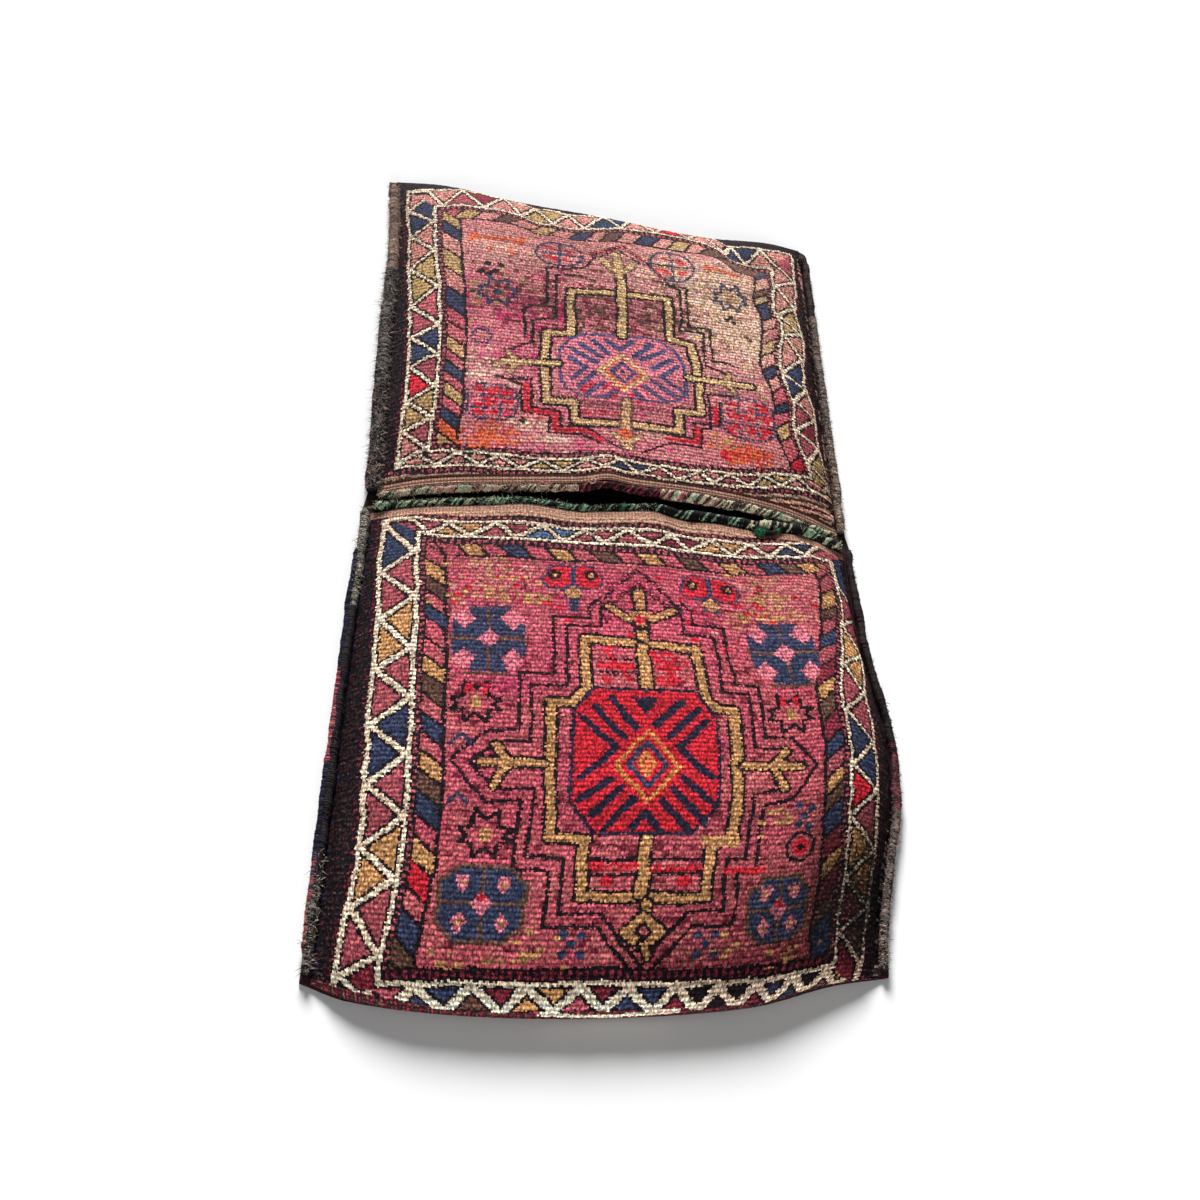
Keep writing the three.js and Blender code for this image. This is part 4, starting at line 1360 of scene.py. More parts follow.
def count_knots(face, arcs, columns):
    """Gives a face a map of its knots, counted across and along the cloth; the band's threads are finer."""
    places = np.stack(np.meshgrid(np.arange(columns + 1) * KNOTS_ACROSS / columns, arcs / KNOT_ROW), axis=-1)
    places[:BAND_ROWS] *= BAND_FINENESS
    places = np.concatenate([places.reshape(-1, 2), places[::SKIN_STEP, ::SKIN_STEP].reshape(-1, 2)])
    mesh = face.data
    corners = np.empty(len(mesh.loops), np.int32)
    mesh.loops.foreach_get("vertex_index", corners)
    mesh.uv_layers.new(name="knots").data.foreach_set("uv", places[corners].astype(np.float32).ravel())


def make_face(pouch, loom, ageing_and_painted_light, material):
    """One pile face: a closed sheet whose upper skin has a cell of one colour for each cell of the loom."""
    rng = loom.rng
    colours = dyed(loom, *ageing_and_painted_light)
    knots, woven = loom.yarn, loom.woven
    if pouch.direction > 0:
        colours, knots, woven = colours[::-1], knots[::-1], woven[::-1]
    columns = CELLS_ACROSS
    arcs = np.r_[np.linspace(0, BAND_LENGTH, BAND_ROWS, endpoint=False),
                 np.linspace(BAND_LENGTH, middle_arc(pouch)[-1], len(knots) + 1)]
    across, along = lattice(pouch, arcs, columns)
    outer = outer_skin(pouch, across, along, knots, rng)
    coarse = (slice(None, None, SKIN_STEP), slice(None, None, SKIN_STEP))
    inner = pouch.point(across[coarse], along[coarse], FACE_THICKNESS) + SHIFT
    faces = sheet_faces(outer, inner, pouch.direction < 0)
    upper = np.concatenate([band_colours(rng, columns, BAND_YARNS[pouch.name]), colours]).reshape(-1, 3)
    woven = np.concatenate([np.full((BAND_ROWS, columns), True), woven])
    upper = np.c_[upper, np.where(woven.ravel(), PLAIN_RELIEF, 1.0)]
    # The inside skin: its yarn darkened with painted shade.
    inside = np.append(DYES[YARN_ROW[INSIDE_YARN]] * INSIDE_PAINTED_SHADE, PLAIN_RELIEF)
    colours = np.concatenate([upper, np.tile(inside, (len(faces) - len(upper), 1))])
    vertices = np.concatenate([outer.reshape(-1, 3), inner.reshape(-1, 3)])
    face = new_piece(f"{pouch.name}_pile_face", vertices, faces, material, colours)
    count_knots(face, arcs, columns)
    return face


def set_inputs(node, **values):
    """Puts values on a shader node's inputs."""
    for name, value in values.items():
        node.inputs[name.replace("_", " ")].default_value = value


def new_node(tree, kind, **values):
    """A shader node of a kind, with values on its inputs."""
    node = tree.nodes.new("ShaderNode" + kind)
    set_inputs(node, **values)
    return node


def ranged(tree, source, **limits):
    """A node that brings a value to another range."""
    node = new_node(tree, "MapRange", **limits)
    tree.links.new(source, node.inputs["Value"])
    return node


# A wave texture runs through 10 / pi waves to the unit, so this scale gives it one wave to each row of knots.
ROW_WAVE = {"Scale": math.pi / 10, "Distortion": 1.9, "Detail": 2.0}
# How the strands of a knot lie: their slant in radians, and how many go to a knot across and along.
STRAND_SLANT = 0.45
STRANDS = (2.2, 1.1, 1.0)
# Fibres and tufts: their noise, how unevenly knots lie, and how much finer the tufts of spun yarn are.
FIBRE_NOISE = {"Detail": 3.0, "Roughness": 0.7}
KNOT_DISORDER = 0.95
TUFT_FINENESS = 1.3
# Factors of the colour: painted shade that darkens a tuft from its lighter middle to its rim, where shade
# falls between tufts; by fibres, partly their own tone and partly painted light on strands and painted shade
# between them; painted shade in the furrows between rows; and a tone of its own for each tuft. In pile the
# rim's painted shade follows the relief.
TUFT_RIM_PAINTED_SHADE = {"From_Min": 0.15, "From_Max": 0.62, "To_Min": 1.15, "To_Max": 0.55}
FIBRE_TONE_AND_PAINTED_LIGHT = {"From_Min": 0.34, "From_Max": 0.66, "To_Min": 0.3, "To_Max": 1.72}
ROW_FURROW_PAINTED_SHADE = {"To_Min": 0.52, "To_Max": 1.24}
LOT_SHADE = {"From_Min": 0.2, "From_Max": 0.8, "To_Min": 0.84, "To_Max": 1.18}
PILE_RIM_PAINTED_SHADE = {"To_Min": 1.0, "To_Max": 0.6}
ROUGHNESS_SPREAD = 0.1
FIBRE_BUMP = 0.8


def pile_grain(tree, place, relief):
    """The fibres and tufts of pile on its map of knots, painted shade at tufts' rims and in row furrows, and
    lots.
    """
    link = tree.links.new
    slant = new_node(tree, "Mapping", Rotation=(0, 0, STRAND_SLANT), Scale=STRANDS)
    fibres = new_node(tree, "TexNoise", Scale=1.0, **FIBRE_NOISE)
    fibres.noise_dimensions = "2D"
    link(slant.outputs["Vector"], fibres.inputs["Vector"])
    tufts = new_node(tree, "TexVoronoi", Scale=1.0, Randomness=KNOT_DISORDER)
    tufts.voronoi_dimensions = "2D"
    rows = new_node(tree, "TexWave", **ROW_WAVE)
    rows.bands_direction = "Y"
    for node in (slant, tufts, rows):
        link(place.outputs["UV"], node.inputs["Vector"])
    tuft_painted_shade = ranged(tree, tufts.outputs["Distance"], **TUFT_RIM_PAINTED_SHADE)
    link(ranged(tree, relief, **PILE_RIM_PAINTED_SHADE).outputs["Result"], tuft_painted_shade.inputs["To Max"])
    row_painted_shade = ranged(tree, rows.outputs["Fac"], **ROW_FURROW_PAINTED_SHADE)
    lot_shade = ranged(tree, tufts.outputs["Color"], **LOT_SHADE)
    return fibres, tufts, tuft_painted_shade, [row_painted_shade, lot_shade]


def spun_grain(tree, place, grain):
    """The fibres and tufts of spun yarn, so many to the metre, and the painted shade at a tuft's rim."""
    fibres = new_node(tree, "TexNoise", Scale=grain, **FIBRE_NOISE)
    tufts = new_node(tree, "TexVoronoi", Scale=grain * TUFT_FINENESS, Randomness=1.0)
    for node in (fibres, tufts):
        tree.links.new(place.outputs["Object"], node.inputs["Vector"])
    return fibres, tufts, ranged(tree, tufts.outputs["Distance"], **TUFT_RIM_PAINTED_SHADE), []


def yarn_material(name, grain, bump, roughness, shine):
    """Matt wool in the colours that its faces carry, with so fine a grain, or knotted if there is none."""
    material = bpy.data.materials.new(name)
    material.use_nodes = True
    tree = material.node_tree
    link = tree.links.new
    shader = tree.nodes["Principled BSDF"]
    set_inputs(shader, Specular_IOR_Level=shine)
    place = new_node(tree, "TexCoord")
    dye = new_node(tree, "VertexColor")
    dye.layer_name = "dye"
    relief = dye.outputs["Alpha"]
    if grain is None:
        fibres, tufts, tuft_painted_shade, shades = pile_grain(tree, place, relief)
    else:
        fibres, tufts, tuft_painted_shade, shades = spun_grain(tree, place, grain)
    fibre_tone_and_painted_light = ranged(tree, fibres.outputs["Fac"], **FIBRE_TONE_AND_PAINTED_LIGHT)
    colour = dye.outputs["Color"]
    # The colour takes painted shade at tufts' rims, fibre tone with painted light, and in pile painted row
    # shade and lots' tone.
    for shade in (tuft_painted_shade, fibre_tone_and_painted_light, *shades):
        tint = new_node(tree, "VectorMath")
        tint.operation = "SCALE"
        link(colour, tint.inputs[0])
        link(shade.outputs["Result"], tint.inputs["Scale"])
        colour = tint.outputs["Vector"]
    link(colour, shader.inputs["Base Color"])
    rough = ranged(tree, fibres.outputs["Fac"],
                   To_Min=roughness - ROUGHNESS_SPREAD, To_Max=roughness + ROUGHNESS_SPREAD)
    link(rough.outputs["Result"], shader.inputs["Roughness"])
    tuft_bump = new_node(tree, "Bump", Distance=bump)
    tuft_bump.invert = True
    link(tufts.outputs["Distance"], tuft_bump.inputs["Height"])
    link(relief, tuft_bump.inputs["Strength"])
    fibre_bump = new_node(tree, "Bump", Strength=1.0, Distance=bump * FIBRE_BUMP)
    link(fibres.outputs["Fac"], fibre_bump.inputs["Height"])
    link(tuft_bump.outputs["Normal"], fibre_bump.inputs["Normal"])
    link(fibre_bump.outputs["Normal"], shader.inputs["Normal"])
    return material


def resampled(path, spacing):
    """A path's points, evenly spaced, and how far along it they lie."""
    arc = arc_along(path)
    count = max(int(arc[-1] / spacing), 2)
    at = np.linspace(0, arc[-1], count + 1)
    return np.stack([np.interp(at, arc, path[:, axis]) for axis in range(3)], axis=-1), at


def cross_frames(path):
    """For each point of a path, two directions across it: one level, one nearly upright."""
    run = np.gradient(path, axis=0)
    run /= np.linalg.norm(run, axis=1, keepdims=True)
    level = np.cross(run, [0, 0, 1.0])
    level /= np.linalg.norm(level, axis=1, keepdims=True)
    upright = np.cross(level, run)
    return level, upright


def angles(sides):
    """The angles of a ring's points."""
    return np.arange(sides) * 2 * math.pi / sides


def rings_round(path, reach):
    """A ring of points round each point of a path, each at its own reach."""
    level, upright = cross_frames(path)
    angle = angles(reach.shape[1])
    return (path[:, None, :] + level[:, None, :] * (reach * np.cos(angle))[..., None]
            + upright[:, None, :] * (reach * np.sin(angle))[..., None]).reshape(-1, 3)


def tube(rings, sides, offset=0):
    """The faces of a tube of rings of points, with both ends closed."""
    faces = []
    for ring in range(rings - 1):
        for k in range(sides):
            a = offset + ring * sides + k
            b = offset + ring * sides + (k + 1) % sides
            faces.append([a, b, b + sides, a + sides])
    first = [offset + k for k in range(sides)]
    faces.append(first[::-1])
    faces.append([k + (rings - 1) * sides for k in first])
    return faces


def waves_along(at, spacing, middle, spread, rng):
    """A value that changes at random along a path, from place to place at a spacing."""
    places = np.arange(0, at[-1] + spacing, spacing)
    return np.interp(at, places, rng.normal(middle, spread, len(places)))


# A wound cord: sections to a turn of yarn, how far its ridges rise, how far apart it wanders and swells, how
# strands and colours differ, how long, in radii, and how thin its ends are, the painted shade in its furrows
# and the painted light on its ridges, and how far it wanders.
SECTIONS_PER_WRAP = 6
WRAP_RIDGE = 0.16
WANDER_SPACING, LUMP_SPACING = 0.02, 0.012
STRAND_SPREAD, YARN_SPREAD = 0.05, 0.25
END_LENGTH, END_THIN = 1.5, 0.25
FURROW_PAINTED_SHADE, RIDGE_PAINTED_LIGHT = 0.55, 0.5
WANDER = 0.0006


def wrapped_cord(name, path, radius, pitch, sides, yarn_at, material, rng, strands=1, wander=0.0, lumps=0.06,
                 girth=((0, 1), (1, 1))):
    """A core wound with yarns side by side, as a screw: each ridge is of the yarn that yarn_at names."""
    centre, at = resampled(path, pitch / SECTIONS_PER_WRAP)
    if wander:
        for axis in (0, 2):
            centre[:, axis] += waves_along(at, WANDER_SPACING, 0, wander, rng)
    turn = at[:, None] / pitch + strands * (1 - angles(sides) / (2 * math.pi))
    phase = turn - np.floor(turn)
    swell = waves_along(at, LUMP_SPACING, 1, lumps, rng)
    strand = rng.normal(1, STRAND_SPREAD, int(turn.max()) + 3)
    rise = 1 - WRAP_RIDGE + WRAP_RIDGE * np.sqrt(np.clip(1 - (2 * phase - 1) ** 2, 0, 1))
    reach = radius * rise * swell[:, None] * strand[np.floor(turn).astype(int) + 1]
    taper = np.clip(np.minimum(at, at[-1] - at) / (radius * END_LENGTH), END_THIN, 1) ** 0.5
    reach = reach * (taper * through(girth)(at / at[-1]))[:, None]
    wrap = np.floor(turn[:-1] + 0.5 / SECTIONS_PER_WRAP).astype(int)
    yarns = yarn_at(wrap, at[:-1, None] / at[-1] + 0 * wrap, rng)
    colours = DYES[yarns] * np.exp(rng.normal(0, YARN_SPREAD, wrap.shape))[..., None]
    # Painted shade in the furrows between turns of yarn and painted light on their ridges.
    colours *= (FURROW_PAINTED_SHADE + RIDGE_PAINTED_LIGHT * np.sin(math.pi * np.clip(phase[:-1], 0, 1)))[..., None]
    caps = np.tile(DYES[YARN_ROW["soot"]], (2, 1))
    colours = np.concatenate([colours.reshape(-1, 3), caps])
    return new_piece(name, rings_round(centre, reach), tube(len(centre), sides), material, colours)


# The share of a cord's cells that differ from their turn of yarn, in seams and in bindings, and the share of
# turns that are out of order.
MOTTLE = 0.6
BINDING_MOTTLE = 0.12
STRAY_WRAP = 0.3


def by_stretch(choices, share):
    """For each stretch of (share of the way, yarns): which cells lie in it, and its yarns."""
    stretch = np.clip(np.searchsorted([end for end, _ in choices], share), 0, len(choices) - 1)
    return [(stretch == number, yarn_rows(yarns)) for number, (_, yarns) in enumerate(choices)]


def mixed_wraps(choices, mottle=MOTTLE):
    """Picks a yarn for each turn at random from its stretch, and for some cells by themselves."""

    def yarn_at(wrap, share, rng):
        draws = rng.random(wrap.max() + 2)[wrap]
        draws = np.where(rng.random(wrap.shape) < mottle, rng.random(wrap.shape), draws)
        picked = np.empty(wrap.shape, int)
        for here, pool in by_stretch(choices, share):
            picked[here] = pool[(draws[here] * len(pool)).astype(int)]
        return picked

    return yarn_at


def ordered_wraps(choices):
    """Winds the yarns of each stretch in turn."""

    def yarn_at(wrap, share, rng):
        picked = np.empty(wrap.shape, int)
        for here, pool in by_stretch(choices, share):
            stray = rng.random(wrap.max() + 2)[wrap[here]] < STRAY_WRAP
            picked[here] = pool[(wrap[here] + stray) % len(pool)]
        return picked

    return yarn_at


# The side seams: the pitch of their yarn, their sides, strands and lumps, the points of their paths, and over
# what share of the pouch an end turns in.
SEAM_PITCH, SEAM_SIDES, SEAM_STRANDS, SEAM_LUMPS = 0.0027, 14, 2, 0.11
SEAM_POINTS = 201
SEAM_TURN_LENGTH = 0.06


@dataclass
class Seam:
    """One overcast side seam, from the mouth to the fold."""

    pouch: Pouch
    hand: int  # -1 at the left, 1 at the right
    bulk: float  # how thick it is against its solid
    end: float  # where it ends along the pouch
    reach: float  # how far outside the face's edge its middle lies
    wraps: list  # stretches: share of the way, yarns
    hairs: list  # stretches: share of the way, hairs to the metre, the longest, yarns
    turn_in: float = 0.0  # how far its end turns in

    @property
    def label(self):
        return f"{self.pouch.name}_{'left' if self.hand < 0 else 'right'}"

    @property
    def radius(self):
        return SEAM_RADIUS * self.bulk

    def path(self):
        """The middle of the seam."""
        along = np.linspace(0, self.end, SEAM_POINTS)
        edge = self.pouch.point(0.0 if self.hand < 0 else 1.0, along)
        path = edge + np.array([self.hand * self.reach, 0, 0]) + SHIFT
        path[:, 0] -= self.hand * self.turn_in * smooth(1 - (along[-1] - along) / SEAM_TURN_LENGTH) ** 2
        path[:, 2] = SEAT + self.radius
        return path


SEAMS = [
    Seam(LOWER, -1, bulk=1.0, end=0.988, reach=0.0048,
         wraps=[(0.25, "ash soot cream ash soot"), (0.82, "soot soot soot ink hair"),
                (1, "soot ash hair soot ash")],
         hairs=[(0.22, 3600, 0.005, "ash cream ash soot"), (0.78, 900, 0.004, "soot ink soot hair"),
                (1, 2600, 0.006, "ash cream soot hair")]),
    Seam(LOWER, 1, bulk=0.9, end=0.988, reach=0.0046,
         wraps=[(0.25, "hair soot wine soot"), (0.5, "soot soot hair soot wine"),
                (0.66, "wine plum soot hair"), (1, "ash soot tan soot ash hair")],
         hairs=[(0.3, 1200, 0.003, "hair wine soot"), (0.6, 1500, 0.004, "soot hair wine"),
                (1, 3200, 0.004, "ash soot tan ash beige")]),
    Seam(UPPER, -1, bulk=1.5, end=0.97, reach=0.0042,
         wraps=[(0.35, "soot ash soot ash hair"), (0.68, "soot ash ash soot ash"),
                (1, "tan ash tan beige brown")],
         hairs=[(0.68, 8000, 0.007, "ash soot ash beige soot soot"),
                (1, 6500, 0.0038, "tan ash tan beige hair")]),
    Seam(UPPER, 1, bulk=1.0, end=0.965, reach=0.0046, turn_in=0.006,
         wraps=[(0.35, "ash soot tan soot beige hair"), (0.75, "ash soot tan soot ash"),
                (1, "hair soot soot brown")],
         hairs=[(0.75, 4200, 0.0035, "tan beige ash soot ash"), (1, 3000, 0.003, "hair soot tan soot")]),
]


def make_seam(seam, material, rng):
    """One side seam as a wound cord."""
    return wrapped_cord(f"{seam.label}_overcast_seam", seam.path(), seam.radius, SEAM_PITCH, SEAM_SIDES,
                        mixed_wraps(seam.wraps), material, rng,
                        strands=SEAM_STRANDS, wander=WANDER, lumps=SEAM_LUMPS)


# The rolled margins: their size and place, their stretch along a pouch, and their yarns by share of the way.
MARGIN_RADIUS, MARGIN_OFFSET, MARGIN_PITCH, MARGIN_HEIGHT = 0.0040, 0.0085, 0.0024, 0.0072
MARGIN_POINTS, MARGIN_SIDES = 161, 10
MARGIN_STRETCH = {"lower": (0.10, 0.95), "upper": (0.0, 0.5)}
MARGIN_WRAPS = {
    "lower": [(0.34, "ink navy ink soot"), (0.42, "maroon rose navy rose"),
              (0.58, "rose plum salmon plum rose navy"), (0.8, "ink soot navy ink"), (0.88, "rose plum navy"),
              (1, "plum brown salmon")],
    "upper": [(0.5, "ink navy ink maroon"), (0.8, "ink plum navy soot"), (1, "plum rose brown")],
}


def make_margin(pouch, material, rng):
    """The back's margin where it rolls out beside the left seam."""
    along = np.linspace(*MARGIN_STRETCH[pouch.name], MARGIN_POINTS)
    path = pouch.point(0.0, along) - np.array([MARGIN_OFFSET, 0, 0]) + SHIFT
    path[:, 2] = MARGIN_HEIGHT
    return wrapped_cord(f"{pouch.name}_rolled_margin", path, MARGIN_RADIUS, MARGIN_PITCH, MARGIN_SIDES,
                        ordered_wraps(MARGIN_WRAPS[pouch.name]), material, rng, wander=WANDER)


# The mouth bindings: their stretch across a pouch, and, by share of the way, how thick they are against their
# solids, their yarns, and their hairs as for seams. The dark stretch of the upper binding and its hairs, from
# 0.42 to 0.6 of the way, is painted shadow.
BINDING_PITCH, BINDING_SIDES, BINDING_STRANDS, BINDING_LUMPS = 0.0026, 16, 8, 0.14
BINDING_POINTS = 161
BINDING_REACH = (0.004, 0.996)
BINDING_GIRTH = {
    "lower": [(0, 1.1), (0.4, 1), (0.55, 1.05), (0.66, 1.5), (0.9, 1.5), (1, 1)],
    "upper": [(0, 0.9), (0.3, 0.9), (0.5, 1), (0.7, 1.2), (1, 1)],
}
BINDING_WRAPS_AND_SHADOW = {
    "lower": [(0.28, "soot sage soot sage soot cream"), (0.55, "soot sage soot soot green soot"),
              (0.75, "soot soot soot sage soot"), (1, "soot soot cream soot sage soot")],
    # From 0.42 to 0.6 of the way the dark yarns are painted shadow.
    "upper": [(0.2, "hair cream salmon hair sage cream"), (0.42, "cream clay hair cream hair beige"),
              (0.6, "wine soot maroon soot rose soot"), (0.75, "cream sage rose hair cream"),
              (1, "cream hair sage cream hair")],
}
BINDING_HAIRS_AND_SHADOW = {
    "lower": [(0.3, 5200, 0.005, "sage cream soot soot"), (0.75, 4200, 0.004, "soot soot sage soot cream"),
              (1, 4200, 0.004, "soot soot cream sage")],
    # From 0.42 to 0.6 of the way the dark hairs are painted shadow.
    "upper": [(0.42, 4600, 0.004, "cream beige salmon hair"), (0.6, 3400, 0.003, "soot wine maroon hair"),
              (1, 4200, 0.003, "cream sage hair cream rose")],
}


def binding_path(pouch, start=BINDING_REACH[0], end=BINDING_REACH[1]):
    """The middle of a stretch of a mouth binding, from left to right."""
    across = np.linspace(start, end, BINDING_POINTS)
    rim = pouch.point(across, 0.0)
    bulk = (through(BINDING_GIRTH[pouch.name])(across) - 1) * BINDING_RADIUS
    y = pouch.slit_edge(across) + pouch.direction * (BINDING_RADIUS - bulk)
    z = np.maximum(rim[:, 2] - BINDING_TUCK, SEAT + BINDING_RADIUS)
    return np.stack([rim[:, 0], y, z], axis=-1) + SHIFT


def make_binding(pouch, material, rng):
    """One mouth binding as a wound cord."""
    return wrapped_cord(f"{pouch.name}_wrapped_mouth", binding_path(pouch), BINDING_RADIUS, BINDING_PITCH,
                        BINDING_SIDES, mixed_wraps(BINDING_WRAPS_AND_SHADOW[pouch.name], BINDING_MOTTLE), material, rng,
                        strands=BINDING_STRANDS, wander=WANDER, lumps=BINDING_LUMPS,
                        girth=BINDING_GIRTH[pouch.name])


# Loose hairs: the rings and sides of one, its thickness and taper, how far apart the places of their roots
# are and how far out in the cord, how low round it they start, how they lean, bend and droop, how short they
# may be against the longest, and their least height.
HAIR_RINGS, HAIR_SIDES = 4, 3
HAIR_THICKNESS, HAIR_TAPER = 0.0004, 0.8
HAIR_SPACING, HAIR_ROOT = 0.002, 0.85
HAIR_LOWEST = 0.05
HAIR_LEAN, HAIR_BEND, HAIR_DROOP = 0.8, 0.4, -0.5
HAIR_SHORTEST = 0.3
HAIR_CLEARANCE = 0.0004


def fibre(start, lean, length, thickness, bend):
    """The points of one loose hair: a thin tapering tube that bends as it goes."""
    share = np.linspace(0, 1, HAIR_RINGS)[:, None]
    path = start + lean * length * share + bend * length * share ** 2
    return rings_round(path, np.repeat(thickness * (1 - HAIR_TAPER * share), HAIR_SIDES, axis=1))


def hairs_along(path, radius, stretches, rng):
    """Loose hairs on a cord, each with its yarn."""
    centre, at = resampled(path, HAIR_SPACING)
    level, upright = cross_frames(centre)
    run = np.cross(upright, level)
    hairs = []
    begin = 0.0
    for end, density, longest, names in stretches:
        pool = yarn_rows(names)
        for _ in range(int(at[-1] * (end - begin) * density)):
            k = int(rng.uniform(begin, end) * (len(centre) - 1))
            angle = rng.uniform(HAIR_LOWEST, math.pi - HAIR_LOWEST)
            out = level[k] * math.cos(angle) + upright[k] * math.sin(angle)
            lean = out + run[k] * rng.normal(0, HAIR_LEAN)
            lean /= np.linalg.norm(lean)
            bend = np.array([rng.normal(0, HAIR_BEND), rng.normal(0, HAIR_BEND), HAIR_DROOP])
            length = longest * rng.uniform(HAIR_SHORTEST, 1)
            points = fibre(centre[k] + out * radius * HAIR_ROOT, lean, length, HAIR_THICKNESS, bend)
            hairs.append((points, pool[rng.integers(len(pool))]))
        begin = end
    return hairs


def make_hairs(name, hairs, material, rng):
    """One piece of many hairs."""
    points = np.concatenate([points for points, _ in hairs])
    points[:, 2] = np.maximum(points[:, 2], HAIR_CLEARANCE)
    faces = []
    for k in range(len(hairs)):
        faces += tube(HAIR_RINGS, HAIR_SIDES, k * HAIR_RINGS * HAIR_SIDES)
    shade = np.exp(rng.normal(0, YARN_SPREAD, len(hairs)))
    colours = DYES[[yarn for _, yarn in hairs]] * shade[:, None]
    return new_piece(name, points, faces, material, np.repeat(colours, len(faces) // len(hairs), axis=0))


def make_seam_hairs(material, rng):
    """Loose hairs on all four seams."""
    hairs = []
    for seam in SEAMS:
        hairs += hairs_along(seam.path(), seam.radius, seam.hairs, rng)
    return make_hairs("seam_loose_hairs", hairs, material, rng)


# The green tuft: its place across, how far out and up it stands, its hairs and how they lie.
TUFT_PLACE, TUFT_OUT, TUFT_UP = 0.812, 0.012, BINDING_RADIUS * 1.6
TUFT_HAIRS, TUFT_LENGTH, TUFT_THICKNESS, TUFT_SPREAD = 110, 0.0065, HAIR_THICKNESS * 1.6, 0.0012
TUFT_LEAN, TUFT_LEAN_SPREAD, TUFT_RISE, TUFT_DROOP = (-0.6, -0.5), 0.5, (0.1, 0.5), (0, 0, -0.4)
TUFT_YARNS = "jade jade green"
# How long a stretch of binding is taken to find one place on it.
PLACE_STRETCH = 0.01


def binding_place(pouch, across):
    """One place in the middle of a mouth binding."""
    return binding_path(pouch, across, across + PLACE_STRETCH)[0]


def make_mouth_hairs(material, rng):
    """Loose hairs on both bindings, and the green tuft below the lower one."""
    hairs = []
    for pouch in (LOWER, UPPER):
        hairs += hairs_along(binding_path(pouch), BINDING_RADIUS, BINDING_HAIRS_AND_SHADOW[pouch.name], rng)
    root = binding_place(LOWER, TUFT_PLACE) + np.array([0, -TUFT_OUT, TUFT_UP])
    pool = yarn_rows(TUFT_YARNS)
    for _ in range(TUFT_HAIRS):
        aside = [rng.normal(middle, TUFT_LEAN_SPREAD) for middle in TUFT_LEAN]
        lean = np.array([*aside, rng.uniform(*TUFT_RISE)])
        start = root + rng.normal(0, TUFT_SPREAD, 3)
        points = fibre(start, lean / np.linalg.norm(lean), TUFT_LENGTH, TUFT_THICKNESS, np.array(TUFT_DROOP))
        hairs.append((points, pool[rng.integers(len(pool))]))
    return make_hairs("mouth_loose_hairs", hairs, material, rng)


# The slack loop: its ends on the lower binding, how far it hangs out, how high it lies and how it bows up.
LOOP_ENDS, LOOP_SAG, LOOP_LIFT, LOOP_BOW = (0.785, 0.868), 0.013, 0.0036, 0.002
LOOP_RADIUS, LOOP_SIDES, LOOP_STRANDS = 0.0028, 12, 2
LOOP_WRAPS = [(0.3, "soot cream soot"), (1, "soot soot green soot hair")]


def make_slack_loop(material, rng):
    """A slack turn of the lower binding, hanging over the plain-woven band, and its route."""
    path = binding_path(LOWER, *LOOP_ENDS)
    sag = np.sin(np.linspace(0, math.pi, len(path)))
    path = path + np.stack([0 * sag, -LOOP_SAG * sag, LOOP_LIFT + LOOP_BOW * sag], axis=-1)
    loop = wrapped_cord("lower_binding_slack_loop", path, LOOP_RADIUS, BINDING_PITCH, LOOP_SIDES,
                        ordered_wraps(LOOP_WRAPS), material, rng, strands=LOOP_STRANDS)
    return loop, path


# Loose threads: where each lies across its binding, how far from the binding's middle, and its form.
THREAD_RADIUS, THREAD_PITCH, THREAD_SIDES = 0.0008, 0.0016, 6
TOP_ENDS, TOP_OFFSET = (0.60, 0.90), (0, 0.0012, BINDING_RADIUS)
CURL_PLACE, CURL_OFFSET = 0.452, (0, 0.004, BINDING_RADIUS + 0.001)
CURL_RADIUS, CURL_TURN, CURL_CLIMB = 0.0042, (-0.6, 1.5), 0.15
CURL_POINTS = 61
ARCH_ENDS, ARCH_LIFT = (0.335, 0.372), BINDING_RADIUS * 0.7
ARCH_RISE, ARCH_BOW = 0.004, 0.004


def make_threads(material, rng):
    """The sewing thread on the lower binding, and a curl and an arch of mending thread on the upper one."""
    top = binding_path(LOWER, *TOP_ENDS) + np.array(TOP_OFFSET)
    turn = np.linspace(*CURL_TURN, CURL_POINTS) * math.pi
    ring = np.stack([np.cos(turn), np.sin(turn), CURL_CLIMB * turn / math.pi], axis=-1) * CURL_RADIUS
    curl = binding_place(UPPER, CURL_PLACE) + np.array(CURL_OFFSET) + ring
    arch = binding_path(UPPER, *ARCH_ENDS)
    bow = np.sin(np.linspace(0, math.pi, len(arch)))
    arch = arch + np.stack([0 * bow, ARCH_BOW * bow, ARCH_LIFT + ARCH_RISE * bow], axis=-1)
    routes = [("lower_top_thread", top, "cream cream ivory"),
              ("upper_mending_curl", curl, "cream beige salmon"),
              ("upper_mending_arch", arch, "salmon pink clay")]
    return [wrapped_cord(name, route, THREAD_RADIUS, THREAD_PITCH, THREAD_SIDES, ordered_wraps([(1, yarns)]),
                         material, rng) for name, route, yarns in routes]


# The flat-woven back: its mesh, the height of its ribs and their grain, and how high both its sides lie.
BACK_COLUMNS = 96
BACK_ROW_LENGTH = 0.0035
BACK_RIB, BACK_JITTER = 0.00018, 0.00006
BACK_TOP, BACK_BOTTOM, BACK_BOTTOM_RIB = BACK_THICKNESS - 0.0002, 0.0003, 0.0002
# How far inside the folds it ends, how late its rows take the folds' form, and its round far right corner.
BACK_TUCK = 0.0015
BACK_END_POWER = 12
BACK_ROUND, BACK_ROUND_SHARE = 0.014, 0.7
